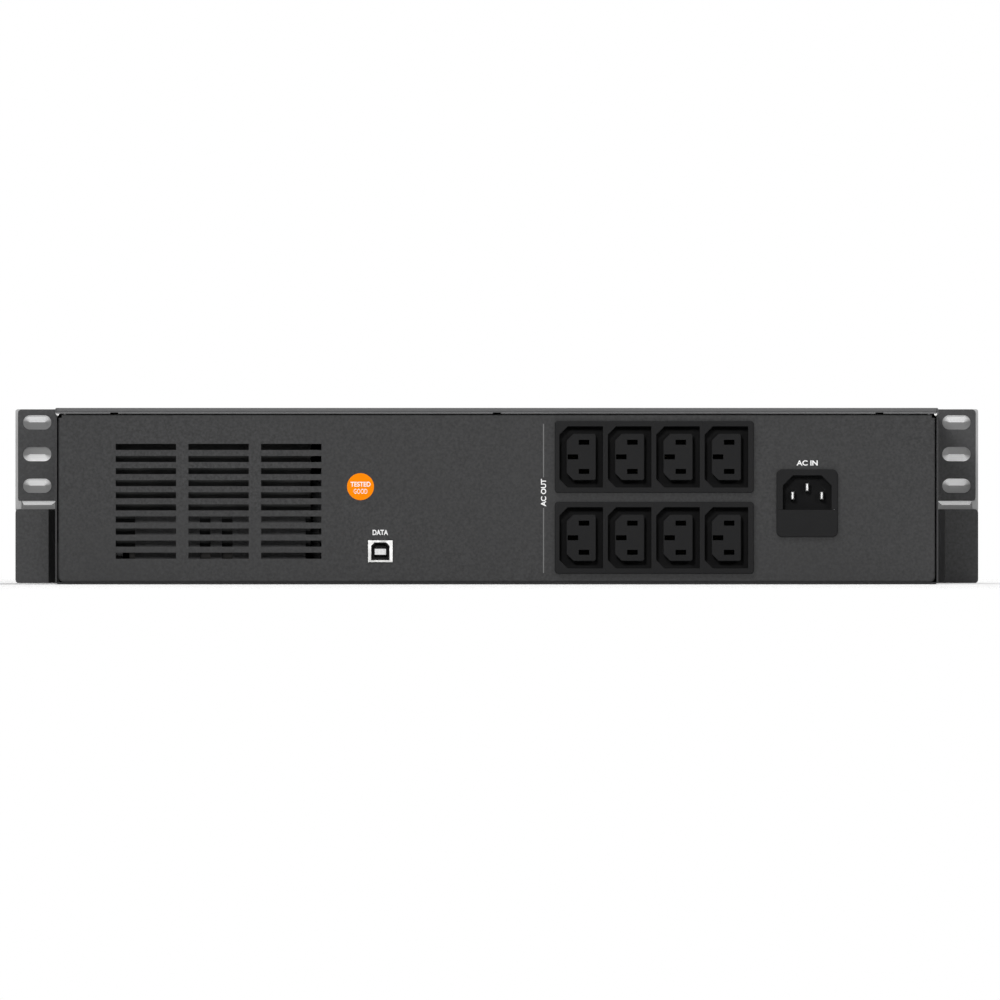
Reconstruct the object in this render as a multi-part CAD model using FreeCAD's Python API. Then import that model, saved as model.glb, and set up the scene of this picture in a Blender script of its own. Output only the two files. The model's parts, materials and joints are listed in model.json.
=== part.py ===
"""Rackmount uninterruptible power supply, two rack units high, as an assembly of separate sub-parts.

Frame: +Z up, +Y towards the front bezel, -Y towards the rear panel with its outlets, +X to the right when
the rear panel is looked at. The origin is the centre of the whole unit's footprint, on its bottom face.
Every length is in millimetres. Each sub-part is written to parts/NODE.step.
"""

import FreeCAD, Part
import math
import os

from FreeCAD import Vector

# ---------------------------------------------------------------- driving dimensions
PANEL_WIDTH = 482.6            # 19 inch rack panel
UNIT_HEIGHT = 87.1             # two rack units less a working gap
BODY_WIDTH = 436.2             # over the sides of the top cover
REAR_Y = -188.0                # outer face of the rear panel
FRONT_Y = 152.0                # front face of the chassis, where the bezel starts
BEZEL_Y = 190.0                # front face of the bezel
FACE_Y = -190.0                # outer face of the outlet and inlet flanges

HALF_PANEL = PANEL_WIDTH / 2
HALF_BODY = BODY_WIDTH / 2

COVER_T = 0.9                  # sheet thicknesses
PAN_T = 1.0
PANEL_T = 1.2
EAR_T = 2.5
FIT = 0.1                      # gap between sheets that lie on each other

# rear panel
PANEL_HALF_W = 216.5
PANEL_LOW = 1.1
PANEL_TOP = 83.8
PANEL_FLANGE = 12.0
VENT_COLUMNS = (-173.3, -137.4, -101.5)
VENT_ROWS = 10
VENT_PITCH = 5.97
VENT_TOP_Z = 67.8              # middle of the highest slot
VENT_SLOT = (29.8, 3.05)

# outlets: two strips of four sockets
OUTLET_X = 77.8                # middle of both strips' flanges
FIRST_OUTLET_X = 41.7
OUTLET_Z = {"upper": 62.9, "lower": 22.95}
OUTLET_FLANGE = (98.2, 35.4)
OUTLET_BODY = (95.6, 32.4)
OUTLET_DEPTH = 22.0
OUTLET_PITCH = 23.9
OUTLET_COUNT = 4
RECESS = (21.5, 30.2)          # opening round each socket insert
RECESS_CORNER = 4.1
RECESS_FLOOR_Y = -173.0
INSERT = (14.5, 23.0)
INSERT_FACE_Y = -189.2
PIN_SLOT = (5.2, 2.5)
SLOT_FLOOR_Y = -168.5
LINE_PIN_SPACING = 14.4        # between the line and neutral slots
LINE_SLOT_X, EARTH_SLOT_X = 1.4, -4.1   # from the socket's middle

# mains inlet
INLET_X = 153.3
INLET_Z = 40.0
INLET_FLANGE = (30.3, 33.4)
INLET_BODY = (26.6, 29.8)
INLET_BACK_Y = -158.0
SOCKET_W = 24.1
SOCKET_LOW, SOCKET_TOP = 36.9, 53.8
SOCKET_CORNER = 5.0
SOCKET_FLOOR_Y = -174.0
BLADE = (2.0, 4.3)
BLADE_SPACING = 14.4
EARTH_BLADE_Z, LINE_BLADE_Z = 47.95, 43.8
FUSE_DRAWER_W = 23.6
FUSE_DRAWER_LOW, FUSE_DRAWER_TOP = 25.2, 35.6
FUSE_DRAWER_BACK_Y = -164.0
FUSE_PLATE_TOP = 36.8          # the drawer's face plate ends at the socket's lower edge
FUSE_Y = (-180.0, -170.5)      # the fuse in use and the spare
FUSE_CAP_R, FUSE_GLASS_R = 2.6, 2.3

# data socket
DATA_X, DATA_Z = -57.5, 16.3
DATA_SHELL = (12.2, 10.8)
DATA_HOLE = (8.5, 8.2)
DATA_FRONT_Y, DATA_BACK_Y = -188.6, -172.0
DATA_FLOOR_Y = -179.5

# rack ears
EAR_OUTER_X = -240.0           # outer edge of the slotted tab
EAR_TAB_LOW = 41.2
EAR_TOP = 87.0
EAR_FLANGE = (92.0, 1.6, 83.8)  # rear end along Y, lowest and highest Z
EAR_SLOT_X = 230.4
EAR_SLOT_Z = (48.75, 64.625, 80.5)
EAR_SLOT_LENGTH = 14.2
EAR_SLOT_R = 3.55
EAR_SCREWS = [(y, z) for y in (104.0, 132.0) for z in (20.0, 66.0)]

# top cover
HEM_R = 1.45                   # outside radius of the hem's roll
HEM_RELIEF = (3.9, 0.6)        # width and height of each relief in the hem's lower edge
HEM_RELIEF_X = (-189.0, 0.0, 189.0)
COVER_LOW = 0.5
COVER_SCREWS = [(y, 12.0) for y in (-160.0, -60.0, 76.0)]
SIDE_VENT_Y = (24.0, 60.0)     # middles of the two columns in each side
SIDE_VENT = (28.0, 2.6)        # along Y and Z
SIDE_VENT_TOP_Z = 62.0
SIDE_VENT_PITCH = 6.0

# battery drawer and its bay
DRAWER_X = (-208.0, -2.0)
DRAWER_LOW = 3.7
DRAWER_BACK_Y = -22.0
DRAWER_SIDE_TOP = 34.0
DRAWER_PLATE_TOP = 81.6
BATTERY = (94.0, 151.0, 65.0)  # across, along the drawer, high
BATTERY_Y = -18.0
BATTERY_GAP_X = -105.0         # middle of the gap that the terminals share
BATTERY_GAP = 14.4
CAPTIVE_X = {"left": -196.0, "right": -14.0}
CAPTIVE_Z = 77.0
CAPTIVE_HEAD = 5.0             # length of the captive screw's head
HANDLE_X, HANDLE_Z, HANDLE_DEPTH = (-150.0, -60.0), (26.0, 50.0), 20.0
TERMINAL_Y = (BATTERY_Y + 15, BATTERY_Y + 136)
TERMINAL_Z = 56.0
TAB_W, TAB_T = 6.3, 0.8        # standard push-on tab
PLUG = (28.0, 16.0)
PLUG_Z = 20.0
PLUG_PIN_X = (-7.0, 7.0)       # from the plug's middle
LEAD_X = (-3.4, 3.4)           # the two leads, from the plug's middle

# front bezel and the panels in it
WINDOW_LOW, WINDOW_TOP = 3.2, 82.6
DRAWER_WINDOW = (-208.6, -1.4)
GRILLE_WINDOW = (3.4, 208.6)
EAR_ZONE_Y = 163.0             # front face of the bezel before the ears
FLOOR_Y = 154.5                # floor of the bezel's recess over the ear's screw heads
PIT_LENGTH, PIT_R, PIT_DEPTH = 15.4, 4.15, 2.0
BEZEL_SHOULDER_X = 224.0       # where the bezel's end steps forward
BEZEL_NOSE_X = 213.5
BEZEL_RIM = 1.4                # width of the bezel's outer rim
CLIP_BLOCK_TOP = 37.0
CLIP_BLOCK_Y = (149.5, 160.0)
GRILLE_Y = (166.0, 188.5)
INSET_TOP = 82.1               # top of the fascia and of the grille panel
WALL = 2.2                     # moulded walls of the front's panels

# control module
CONTROL_X = (64.0, 148.0)
CONTROL_Z = (18.0, 68.0)
CONTROL_FACE_Y = 189.0
LENS_X, LENS_Z = (92.0, 144.0), (34.0, 62.0)
BUTTONS = {                    # X, Z and radius
    "select_button": (78.0, 57.0, 4.0),
    "mute_button": (78.0, 44.5, 4.0),
    "power_button": (78.0, 29.5, 6.0),
}
BUTTON_FACE_Y = 189.9
SWITCH_TOP_Y = 181.4
LIGHT_X = (100.0, 112.0, 124.0, 136.0)
LIGHT_Z = 26.5

# fan on its partition
FAN_SIZE = 80.0
FAN_DEPTH = 25.0
FAN_YZ = (-106.0, 43.0)
PARTITION_X = -80.0
FAN_X = PARTITION_X + PANEL_T
FAN_HOLE = 35.75               # screw holes, from the fan's axis
SPINDLE_R = 1.5

# transformer
CORE_X, CORE_Y, CORE_Z = (-200.0, -92.0), (-160.0, -70.0), (18.0, 70.0)
CRADLE_X = (-178.8, -94.5)
CRADLE_Y = (-168.0, -64.0)
CRADLE_TOP = 35.0
CORE_MIDDLE_X = (CORE_X[0] + CORE_X[1]) / 2
CORE_LEG = 18.0                # width of an outer leg, and half the width of the middle one
CORE_BOLT_HOLE_R, CORE_BOLT_R = 2.7, 2.4

# main board
BOARD_X, BOARD_Y, BOARD_Z = (14.0, 204.0), (-140.0, 110.0), (10.0, 11.6)
STANDOFFS = [(x, y) for x in (20.0, 198.0) for y in (-134.0, -15.0, 104.0)]

parts = {}


# ---------------------------------------------------------------- shapes
def box(x, y, z):
    """A box from three (low, high) pairs."""
    return Part.makeBox(x[1] - x[0], y[1] - y[0], z[1] - z[0], Vector(x[0], y[0], z[0]))


def centred(cx, cz, size, y):
    """A box centred on (cx, cz) in the rear view, between two Y values."""
    return box((cx - size[0] / 2, cx + size[0] / 2), y, (cz - size[1] / 2, cz + size[1] / 2))


def rod(start, direction, radius, length):
    """A round bar."""
    return Part.makeCylinder(radius, length, Vector(*start), Vector(*direction))


def cone(start, direction, r1, r2, length):
    """A round bar whose radius changes from r1 to r2."""
    return Part.makeCone(r1, r2, length, Vector(*start), Vector(*direction))


def prism_xz(points, y):
    """A polygon drawn in the rear view, extruded between two Y values."""
    ring = [Vector(px, y[0], pz) for px, pz in points]
    return Part.Face(Part.makePolygon(ring + ring[:1])).extrude(Vector(0, y[1] - y[0], 0))


def rectangle_xz(x, z, y):
    """A rectangular outline in the plane Y = y."""
    corners = [Vector(x[0], y, z[0]), Vector(x[1], y, z[0]), Vector(x[1], y, z[1]), Vector(x[0], y, z[1])]
    return Part.makePolygon(corners + corners[:1])


def prism_xy(points, z):
    """A polygon drawn in plan, extruded between two Z values."""
    ring = [Vector(px, py, z[0]) for px, py in points]
    return Part.Face(Part.makePolygon(ring + ring[:1])).extrude(Vector(0, 0, z[1] - z[0]))


def slot_wire(cx, cz, length, radius, y):
    """A round-ended slot outline along X, in the plane Y = y."""
    half = length / 2 - radius
    a, b = Vector(cx - half, y, cz - radius), Vector(cx + half, y, cz - radius)
    c, d = Vector(cx + half, y, cz + radius), Vector(cx - half, y, cz + radius)
    right = Part.Arc(b, Vector(cx + half + radius, y, cz), c).toShape()
    left = Part.Arc(d, Vector(cx - half - radius, y, cz), a).toShape()
    return Part.Wire([Part.LineSegment(a, b).toShape(), right, Part.LineSegment(c, d).toShape(), left])


def slot_prism(cx, cz, length, radius, y):
    return Part.Face(slot_wire(cx, cz, length, radius, y[0])).extrude(Vector(0, y[1] - y[0], 0))


def hip_roof(cx, cz, length, radius, base_y, ridge_y):
    """A round-ended slot that narrows to a ridge line."""
    ridge = 0.15
    outline = slot_wire(cx, cz, length, radius, base_y)
    top = slot_wire(cx, cz, length - 2 * (radius - ridge), ridge, ridge_y)
    return Part.makeLoft([outline, top], True, True)


def cut(shape, *tools):
    return shape.cut(list(tools))


def fuse(first, *others):
    return first.fuse(list(others)).removeSplitter()


def edges_where(shape, test):
    """The straight or curved edges whose box passes the test."""
    return [e for e in shape.Edges if test(e.BoundBox)]


def flat(low, high, at):
    """Whether a box's extent in one direction lies at one place."""
    return abs(low - at) < 1e-3 and abs(high - at) < 1e-3


def round_y_edges(shape, radius):
    """Rounds the edges that run along Y."""
    def runs(b):
        return b.YLength > 0.5 and b.XLength < 1e-3 and b.ZLength < 1e-3
    return shape.makeFillet(radius, edges_where(shape, runs))


def rounded_plate(cx, cz, size, radius, y):
    return round_y_edges(centred(cx, cz, size, y), radius)


def on_both_sides(outer_x, thick, y, z):
    """A sheet along the left side and one along the right, inside the given half width."""
    return [box((-outer_x, thick - outer_x), y, z), box((outer_x - thick, outer_x), y, z)]


def mirrored(shape):
    """The same piece for the other side of the unit."""
    return shape.mirror(Vector(0, 0, 0), Vector(1, 0, 0))


def group(solids):
    return Part.makeCompound(solids)


def route(points, tightest=0.45):
    """Straight runs joined by tangent arcs, each as large as its two runs allow."""
    p = [Vector(*q) for q in points]
    edges, start = [], p[0]
    for before, corner, after in zip(p, p[1:], p[2:]):
        into, out = corner - before, after - corner
        shorter = min(into.Length, out.Length)
        into, out = into.normalize(), out.normalize()
        reach = tightest * shorter
        first, last = corner - into * reach, corner + out * reach
        half_turn = math.acos(max(-1.0, min(1.0, into.dot(out)))) / 2
        radius = reach / math.tan(half_turn)
        inward = (out - into).normalize()
        middle = corner + inward * (radius / math.cos(half_turn) - radius)
        edges.append(Part.LineSegment(start, first).toShape())
        edges.append(Part.Arc(first, middle, last).toShape())
        start = last
    edges.append(Part.LineSegment(start, p[-1]).toShape())
    return Part.Wire(edges)


def wire_tube(points, radius):
    """A round wire along a route."""
    path = route(points)
    direction = Vector(*points[1]) - Vector(*points[0])
    ring = Part.Wire([Part.makeCircle(radius, Vector(*points[0]), direction)])
    return path.makePipeShell([ring], True, False)


# ---------------------------------------------------------------- sheet metal
def outlet_centres(row):
    return [(FIRST_OUTLET_X + OUTLET_PITCH * i, OUTLET_Z[row]) for i in range(OUTLET_COUNT)]


def vent_slots():
    rows = [VENT_TOP_Z - VENT_PITCH * i for i in range(VENT_ROWS)]
    through = (REAR_Y - 1, REAR_Y + PANEL_T + 1)
    return [centred(x, z, VENT_SLOT, through) for x in VENT_COLUMNS for z in rows]


def rear_panel():
    """A shallow tray, open to the front, with the vents and the connector cut-outs."""
    w, t, back = PANEL_HALF_W, PANEL_T, REAR_Y + PANEL_FLANGE
    tray = box((-w, w), (REAR_Y, back), (PANEL_LOW, PANEL_TOP))
    lower = edges_where(tray, lambda b: b.YLength > 5 and flat(b.ZMin, b.ZMax, PANEL_LOW))
    tray = tray.makeFillet(2.6, lower)
    rim = edges_where(tray, lambda b: flat(b.YMin, b.YMax, REAR_Y))
    tray = tray.makeFillet(1.0, rim)
    hollow = box((-w + t, w - t), (REAR_Y + t, back + 1), (PANEL_LOW + t, PANEL_TOP - t))
    inner_low = edges_where(hollow, lambda b: b.YLength > 5 and flat(b.ZMin, b.ZMax, PANEL_LOW + t))
    hollow = hollow.makeFillet(1.5, inner_low)
    relief = 1.6               # square corner reliefs between the tray's folds
    corners = on_both_sides(w + 1, relief + 1, (REAR_Y - 1, back + 1), (PANEL_TOP - relief, PANEL_TOP + 1))
    through = (REAR_Y - 1, REAR_Y + t + 1)

    def opening(cx, cz, size):
        clearance = 0.4
        return centred(cx, cz, (size[0] + clearance, size[1] + clearance), through)
    outlets = [opening(OUTLET_X, z, OUTLET_BODY) for z in OUTLET_Z.values()]
    inlet = opening(INLET_X, INLET_Z, INLET_BODY)
    data = opening(DATA_X, DATA_Z, DATA_SHELL)
    return cut(tray, hollow, *corners, *outlets, inlet, data, *vent_slots())


def side_vents():
    """Two columns of slots through each side of the cover."""
    rows = [SIDE_VENT_TOP_Z - SIDE_VENT_PITCH * i for i in range(8)]
    half_l, half_w = SIDE_VENT[0] / 2, SIDE_VENT[1] / 2
    slots = []
    for y in SIDE_VENT_Y:
        for z in rows:
            across = (-HALF_BODY - 1, HALF_BODY + 1)
            slots.append(box(across, (y - half_l, y + half_l), (z - half_w, z + half_w)))
    return slots


def top_cover():
    """An inverted U with a rolled hem along its rear edge, and three reliefs in the hem."""
    t, low, front, hem_r = COVER_T, COVER_LOW, FRONT_Y - 0.6, HEM_R
    hem_y, hem_z = REAR_Y + t / 2, UNIT_HEIGHT - hem_r
    outer = box((-HALF_BODY, HALF_BODY), (hem_y, front), (low, UNIT_HEIGHT))
    bends = edges_where(outer, lambda b: b.YLength > 100 and flat(b.ZMin, b.ZMax, UNIT_HEIGHT))
    outer = outer.makeFillet(0.8, bends)
    inner = box((-HALF_BODY + t, HALF_BODY - t), (hem_y - 1, front + 1), (low - 1, UNIT_HEIGHT - t))
    shell = cut(outer, inner)
    half = HALF_BODY - t
    roll = rod((-half, hem_y, hem_z), (1, 0, 0), hem_r, 2 * half)
    core = rod((-half - 1, hem_y, hem_z), (1, 0, 0), hem_r - t, 2 * half + 2)
    ahead = box((-half - 1, half + 1), (hem_y, hem_y + 5), (hem_z - 5, hem_z + 5))
    roll = cut(roll, core, ahead)
    leg = box((-half, half), (hem_y, hem_y + 7), (hem_z - hem_r, hem_z - hem_r + t))
    shell = fuse(shell, roll, leg)
    lip = UNIT_HEIGHT - 2 * hem_r + HEM_RELIEF[1] / 2
    reliefs = [centred(x, lip, HEM_RELIEF, (hem_y - 3, hem_y + 11)) for x in HEM_RELIEF_X]
    holes = []
    for s in (-1, 1):
        for y, z in COVER_SCREWS:
            holes.append(cone((s * (HALF_BODY + 0.01), y, z), (-s, 0, 0), 2.9, 1.7, 1.2))
    return cut(shell, *reliefs, *holes, *side_vents())


def base_pan():
    """The bottom sheet, with an upright flange along each side."""
    half, t, front = HALF_BODY - COVER_T - FIT, PAN_T, FRONT_Y - PANEL_T
    floor = box((-half, half), (REAR_Y + 1.5, front), (0, t))
    sides = on_both_sides(half, t, (REAR_Y + PANEL_FLANGE + 1, front), (0, 20))
    pan = fuse(floor, *sides)
    holes = [rod((s * (half + 1), y, z), (-s, 0, 0), 1.7, 3) for s in (-1, 1) for y, z in COVER_SCREWS]
    return cut(pan, *holes)


def front_wall():
    """The chassis front: an opening for the drawer, air slots and the ribbon's slot."""
    y = (FRONT_Y - PANEL_T, FRONT_Y)
    half, low, top = 215.9, PAN_T + FIT, 86.0
    wall = box((-half, half), y, (low, top))
    sides = on_both_sides(half, PANEL_T, (y[0] - PANEL_FLANGE, y[0]), (low, top))
    through = (y[0] - 1, y[1] + 1)
    opening = box((DRAWER_X[0] - 1.5, DRAWER_X[1] + 1.5), through, (DRAWER_LOW - 0.5, 72.5))
    screws = [rod((x, y[0] - 1, CAPTIVE_Z), (0, 1, 0), 2.2, 4) for x in CAPTIVE_X.values()]
    ribbon = box((97, 115), through, (37.5, 44.5))
    air = [box((x, x + 40), through, (z, z + 4)) for x in (12.0, 158.0) for z in range(16, 72, 9)]
    return cut(fuse(wall, *sides), opening, *screws, ribbon, *air)


def fan_partition():
    """A wall between the transformer and the boards, with the fan's round opening."""
    x = (PARTITION_X, PARTITION_X + PANEL_T)
    y = (REAR_Y + 13, CRADLE_Y[1])
    low = PAN_T + FIT
    wall = box(x, y, (low, 82))
    foot = box((x[1], x[1] + 9), y, (low, low + PANEL_T))
    mouth = rod((x[0] - 1, *FAN_YZ), (1, 0, 0), 37.5, 4)
    screws = [rod((x[0] - 1, cy, cz), (1, 0, 0), 1.7, 4) for cy, cz in fan_corners()]
    return cut(fuse(wall, foot), mouth, *screws)


def fan_corners():
    ends = (-FAN_HOLE, FAN_HOLE)
    return [(FAN_YZ[0] + a, FAN_YZ[1] + b) for a in ends for b in ends]


def bay_divider():
    """The wall between the battery bay and the main board, with a foot on the pan."""
    x, low = (-0.3, 0.9), PAN_T + FIT
    wall = box(x, (DRAWER_BACK_Y - 4, FRONT_Y - PANEL_T - FIT), (low, 70))
    foot = box((x[1], 12), (DRAWER_BACK_Y - 4, FRONT_Y - PANEL_T - 1), (low, low + PANEL_T))
    return fuse(wall, foot)


def ear():
    """The left rack ear: a side flange and a slotted tab bent out from it."""
    inner_x, y = -HALF_BODY, (FRONT_Y - EAR_T, FRONT_Y)
    rear_y, low, high = EAR_FLANGE
    bracket = fuse(
        box((EAR_OUTER_X, inner_x), y, (low, EAR_TOP)),
        box((inner_x - EAR_T, inner_x), (rear_y, y[1]), (low, EAR_TOP)),
    )
    inside = edges_where(bracket, lambda b: b.ZLength > 50 and flat(b.XMin, b.XMax, inner_x - EAR_T)
                         and flat(b.YMin, b.YMax, y[0]))
    bracket = bracket.makeFillet(1.3, inside)
    outside = edges_where(bracket, lambda b: b.ZLength > 50 and flat(b.XMin, b.XMax, inner_x)
                          and flat(b.YMin, b.YMax, y[1]))
    bracket = bracket.makeFillet(3.0, outside)
    below_tab = box((EAR_OUTER_X - 1, inner_x - EAR_T), (rear_y - 1, y[1] + 1), (low - 1, EAR_TAB_LOW))
    above_flange = box((inner_x - EAR_T - 0.1, inner_x + 1), (rear_y - 1, y[1] + 1), (high, EAR_TOP + 1))
    bracket = cut(bracket, below_tab, above_flange)
    corners = edges_where(bracket, lambda b: flat(b.XMin, b.XMax, EAR_OUTER_X)
                          and abs(b.YLength - EAR_T) < 1e-3)
    bracket = bracket.makeFillet(1.8, corners)
    through = (y[0] - 1, y[1] + 1)
    slots = [slot_prism(-EAR_SLOT_X, z, EAR_SLOT_LENGTH, EAR_SLOT_R, through) for z in EAR_SLOT_Z]
    sinks = [cone((inner_x - EAR_T - 0.01, cy, cz), (1, 0, 0), 4.2, 2.1, 2.6) for cy, cz in EAR_SCREWS]
    return cut(bracket, *slots, *sinks)


def countersunk(place, direction, head_r, shank_r, head_h, length):
    """A countersunk screw with a cross recess, its head flush at the given place."""
    head = cone(place, direction, head_r, shank_r, head_h)
    inward = [c * head_h for c in direction]
    shank = rod([p + d for p, d in zip(place, inward)], direction, shank_r, length - head_h)
    x, y, z = place
    wide, deep = head_r * 0.55, head_h * 0.6
    narrow = wide / 4
    arms = [
        box((x - deep, x + deep), (y - a, y + a), (z - b, z + b)) for a, b in ((wide, narrow), (narrow, wide))
    ]
    return cut(fuse(head, shank), *arms)


def ear_screws():
    solids = []
    for s in (-1, 1):
        for y, z in EAR_SCREWS:
            solids.append(countersunk((s * (HALF_BODY + EAR_T), y, z), (-s, 0, 0), 4.05, 2.0, 2.3, 2.45))
    return group(solids)


def cover_screws():
    solids = []
    for s in (-1, 1):
        for y, z in COVER_SCREWS:
            solids.append(countersunk((s * HALF_BODY, y, z), (-s, 0, 0), 2.7, 1.5, 1.2, 6.0))
    return group(solids)


# ---------------------------------------------------------------- outlets, inlet and data socket
def recess_outline(cx, cz, grow):
    """The socket opening: a rectangle with both left corners cut off."""
    w, h, c = RECESS[0] / 2 + grow, RECESS[1] / 2 + grow, RECESS_CORNER
    return [
        (cx - w + c, cz - h), (cx + w, cz - h), (cx + w, cz + h),
        (cx - w + c, cz + h), (cx - w, cz + h - c), (cx - w, cz - h + c),
    ]


def outlet_frame(row):
    """One strip: a flange on the rear panel and a deep body with an opening for each socket.

    It is divided in the middle of each web, into one piece for each socket.
    """
    cz = OUTLET_Z[row]
    flange = rounded_plate(OUTLET_X, cz, OUTLET_FLANGE, 1.5, (FACE_Y, REAR_Y))
    rim = edges_where(flange, lambda b: flat(b.YMin, b.YMax, FACE_Y))
    flange = flange.makeFillet(0.5, rim)
    body = centred(OUTLET_X, cz, OUTLET_BODY, (REAR_Y - 0.5, REAR_Y + OUTLET_DEPTH))
    y = (FACE_Y - 1, REAR_Y + OUTLET_DEPTH + 1)
    centres = outlet_centres(row)
    strip = cut(fuse(flange, body), *[prism_xz(recess_outline(x, z, 0), y) for x, z in centres])
    webs = [x + OUTLET_PITCH / 2 for x, z in centres[:-1]]
    half_flange = OUTLET_FLANGE[0] / 2 + 1
    ends = [OUTLET_X - half_flange, *webs, OUTLET_X + half_flange]
    return group([strip.common(box(x, y, (0, UNIT_HEIGHT))).Solids[0] for x in zip(ends, ends[1:])])


def pin_slots(cx, cz, y):
    line_x, earth_x = cx + LINE_SLOT_X, cx + EARTH_SLOT_X
    return [
        centred(line_x, cz + LINE_PIN_SPACING / 2, PIN_SLOT, y),
        centred(line_x, cz - LINE_PIN_SPACING / 2, PIN_SLOT, y),
        centred(earth_x, cz, PIN_SLOT, y),
    ]


def socket(cx, cz):
    """One socket: a floor that fills the opening, and an insert with three slots."""
    w, h = INSERT[0] / 2, INSERT[1] / 2
    back = REAR_Y + OUTLET_DEPTH
    floor = prism_xz(recess_outline(cx, cz, -FIT), (RECESS_FLOOR_Y, back))
    corner = 3.4
    outline = [(cx - w + corner, cz - h), (cx + w, cz - h), (cx + w, cz + h), (cx - w + corner, cz + h),
               (cx - w, cz + h - corner), (cx - w, cz - h + corner)]
    insert = round_y_edges(prism_xz(outline, (INSERT_FACE_Y, RECESS_FLOOR_Y)), 1.2)
    rim = edges_where(insert, lambda b: flat(b.YMin, b.YMax, INSERT_FACE_Y))
    insert = insert.makeFillet(0.4, rim)
    slots = pin_slots(cx, cz, (INSERT_FACE_Y - 1, SLOT_FLOOR_Y))
    return cut(fuse(insert, floor), *slots, *contacts(cx, cz))


def contacts(cx, cz):
    """The three contact tabs of one socket, which run out of its back."""
    tabs = []
    y = (SLOT_FLOOR_Y - 2.0, REAR_Y + OUTLET_DEPTH + 9)
    for hole in pin_slots(cx, cz, (INSERT_FACE_Y, SLOT_FLOOR_Y)):
        middle = hole.BoundBox.Center
        tabs.append(centred(middle.x, middle.z, (4.2, TAB_T), y))
    return tabs


def outlet_sockets(row):
    return group([socket(x, z) for x, z in outlet_centres(row)])


def outlet_contacts():
    return group([tab for row in OUTLET_Z for x, z in outlet_centres(row) for tab in contacts(x, z)])


def inlet_blades():
    """Line, neutral and earth: a blade in the socket and a tab behind it."""
    places = [(INLET_X - BLADE_SPACING / 2, LINE_BLADE_Z), (INLET_X + BLADE_SPACING / 2, LINE_BLADE_Z),
              (INLET_X, EARTH_BLADE_Z)]
    blades = []
    for x, z in places:
        blade = centred(x, z, BLADE, (FACE_Y + 1.6, SOCKET_FLOOR_Y))
        tip = edges_where(blade, lambda b: flat(b.YMin, b.YMax, FACE_Y + 1.6))
        blade = blade.makeFillet(0.7, tip)
        tab = centred(x, z, (0.8, 4.3), (SOCKET_FLOOR_Y - 0.5, INLET_BACK_Y + 9))
        blades.append(fuse(blade, tab))
    return blades


def inlet_face():
    """The inlet's whole face: a rounded plate, of which the fuse drawer carries the lower part."""
    face = rounded_plate(INLET_X, INLET_Z, INLET_FLANGE, 2.8, (FACE_Y, REAR_Y))
    rim = edges_where(face, lambda b: flat(b.YMin, b.YMax, FACE_Y))
    return face.makeFillet(0.6, rim)


def inlet_housing():
    """The moulded inlet: a socket with cut top corners over the fuse drawer's slot."""
    half_face = INLET_FLANGE[0] / 2 + 1
    lower = box((INLET_X - half_face, INLET_X + half_face), (FACE_Y - 1, REAR_Y), (0, FUSE_PLATE_TOP + 0.05))
    body = centred(INLET_X, INLET_Z, INLET_BODY, (REAR_Y - 0.5, INLET_BACK_Y))
    w, c = SOCKET_W / 2, SOCKET_CORNER
    outline = [(INLET_X - w, SOCKET_LOW), (INLET_X + w, SOCKET_LOW), (INLET_X + w, SOCKET_TOP - c),
               (INLET_X + w - c, SOCKET_TOP), (INLET_X - w + c, SOCKET_TOP), (INLET_X - w, SOCKET_TOP - c)]
    socket_hollow = prism_xz(outline, (FACE_Y - 1, SOCKET_FLOOR_Y))
    half, gap = FUSE_DRAWER_W / 2, 0.2
    tunnel = box((INLET_X - half - gap, INLET_X + half + gap), (FACE_Y - 1, FUSE_DRAWER_BACK_Y + 1),
                 (FUSE_DRAWER_LOW - gap, FUSE_DRAWER_TOP + gap))
    return cut(fuse(inlet_face(), body), lower, socket_hollow, tunnel, *inlet_blades())


def fuse_drawer():
    """A small tray behind a face plate, with pockets for the fuse in use and a spare."""
    half = FUSE_DRAWER_W / 2
    tray = box((INLET_X - half, INLET_X + half), (REAR_Y - 1, FUSE_DRAWER_BACK_Y),
               (FUSE_DRAWER_LOW, FUSE_DRAWER_TOP))
    half_face = INLET_FLANGE[0] / 2 + 1
    kept = box((INLET_X - half_face, INLET_X + half_face), (FACE_Y - 1, REAR_Y - FIT),
               (0, FUSE_PLATE_TOP - 0.05))
    plate = inlet_face().common(kept)
    half_fuse = 10.6
    pockets = [
        box((INLET_X - half_fuse, INLET_X + half_fuse), (y - 3.2, y + 3.2),
            (FUSE_DRAWER_LOW + 2, FUSE_DRAWER_TOP + 1))
        for y in FUSE_Y
    ]
    return cut(fuse(plate, tray), *pockets)


def fuses():
    """Two 5 by 20 cartridge fuses: a glass body between two end caps."""
    solids = []
    z = FUSE_DRAWER_LOW + 2 + FUSE_CAP_R
    for y in FUSE_Y:
        solids.append(rod((INLET_X - 5, y, z), (1, 0, 0), FUSE_GLASS_R, 10))
        solids.append(rod((INLET_X - 10, y, z), (1, 0, 0), FUSE_CAP_R, 5))
        solids.append(rod((INLET_X + 5, y, z), (1, 0, 0), FUSE_CAP_R, 5))
    return group(solids)


def data_outline(grow=0.0):
    """The data socket's opening, with both top corners cut off."""
    w, h, c = DATA_HOLE[0] / 2 + grow, DATA_HOLE[1] / 2 + grow, 1.7
    return [(DATA_X - w, DATA_Z - h), (DATA_X + w, DATA_Z - h), (DATA_X + w, DATA_Z + h - c),
            (DATA_X + w - c, DATA_Z + h), (DATA_X - w + c, DATA_Z + h), (DATA_X - w, DATA_Z + h - c)]


def usb_shell():
    shell = centred(DATA_X, DATA_Z, DATA_SHELL, (DATA_FRONT_Y, DATA_BACK_Y))
    return cut(shell, prism_xz(data_outline(), (DATA_FRONT_Y - 1, DATA_BACK_Y - 1)))


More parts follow.
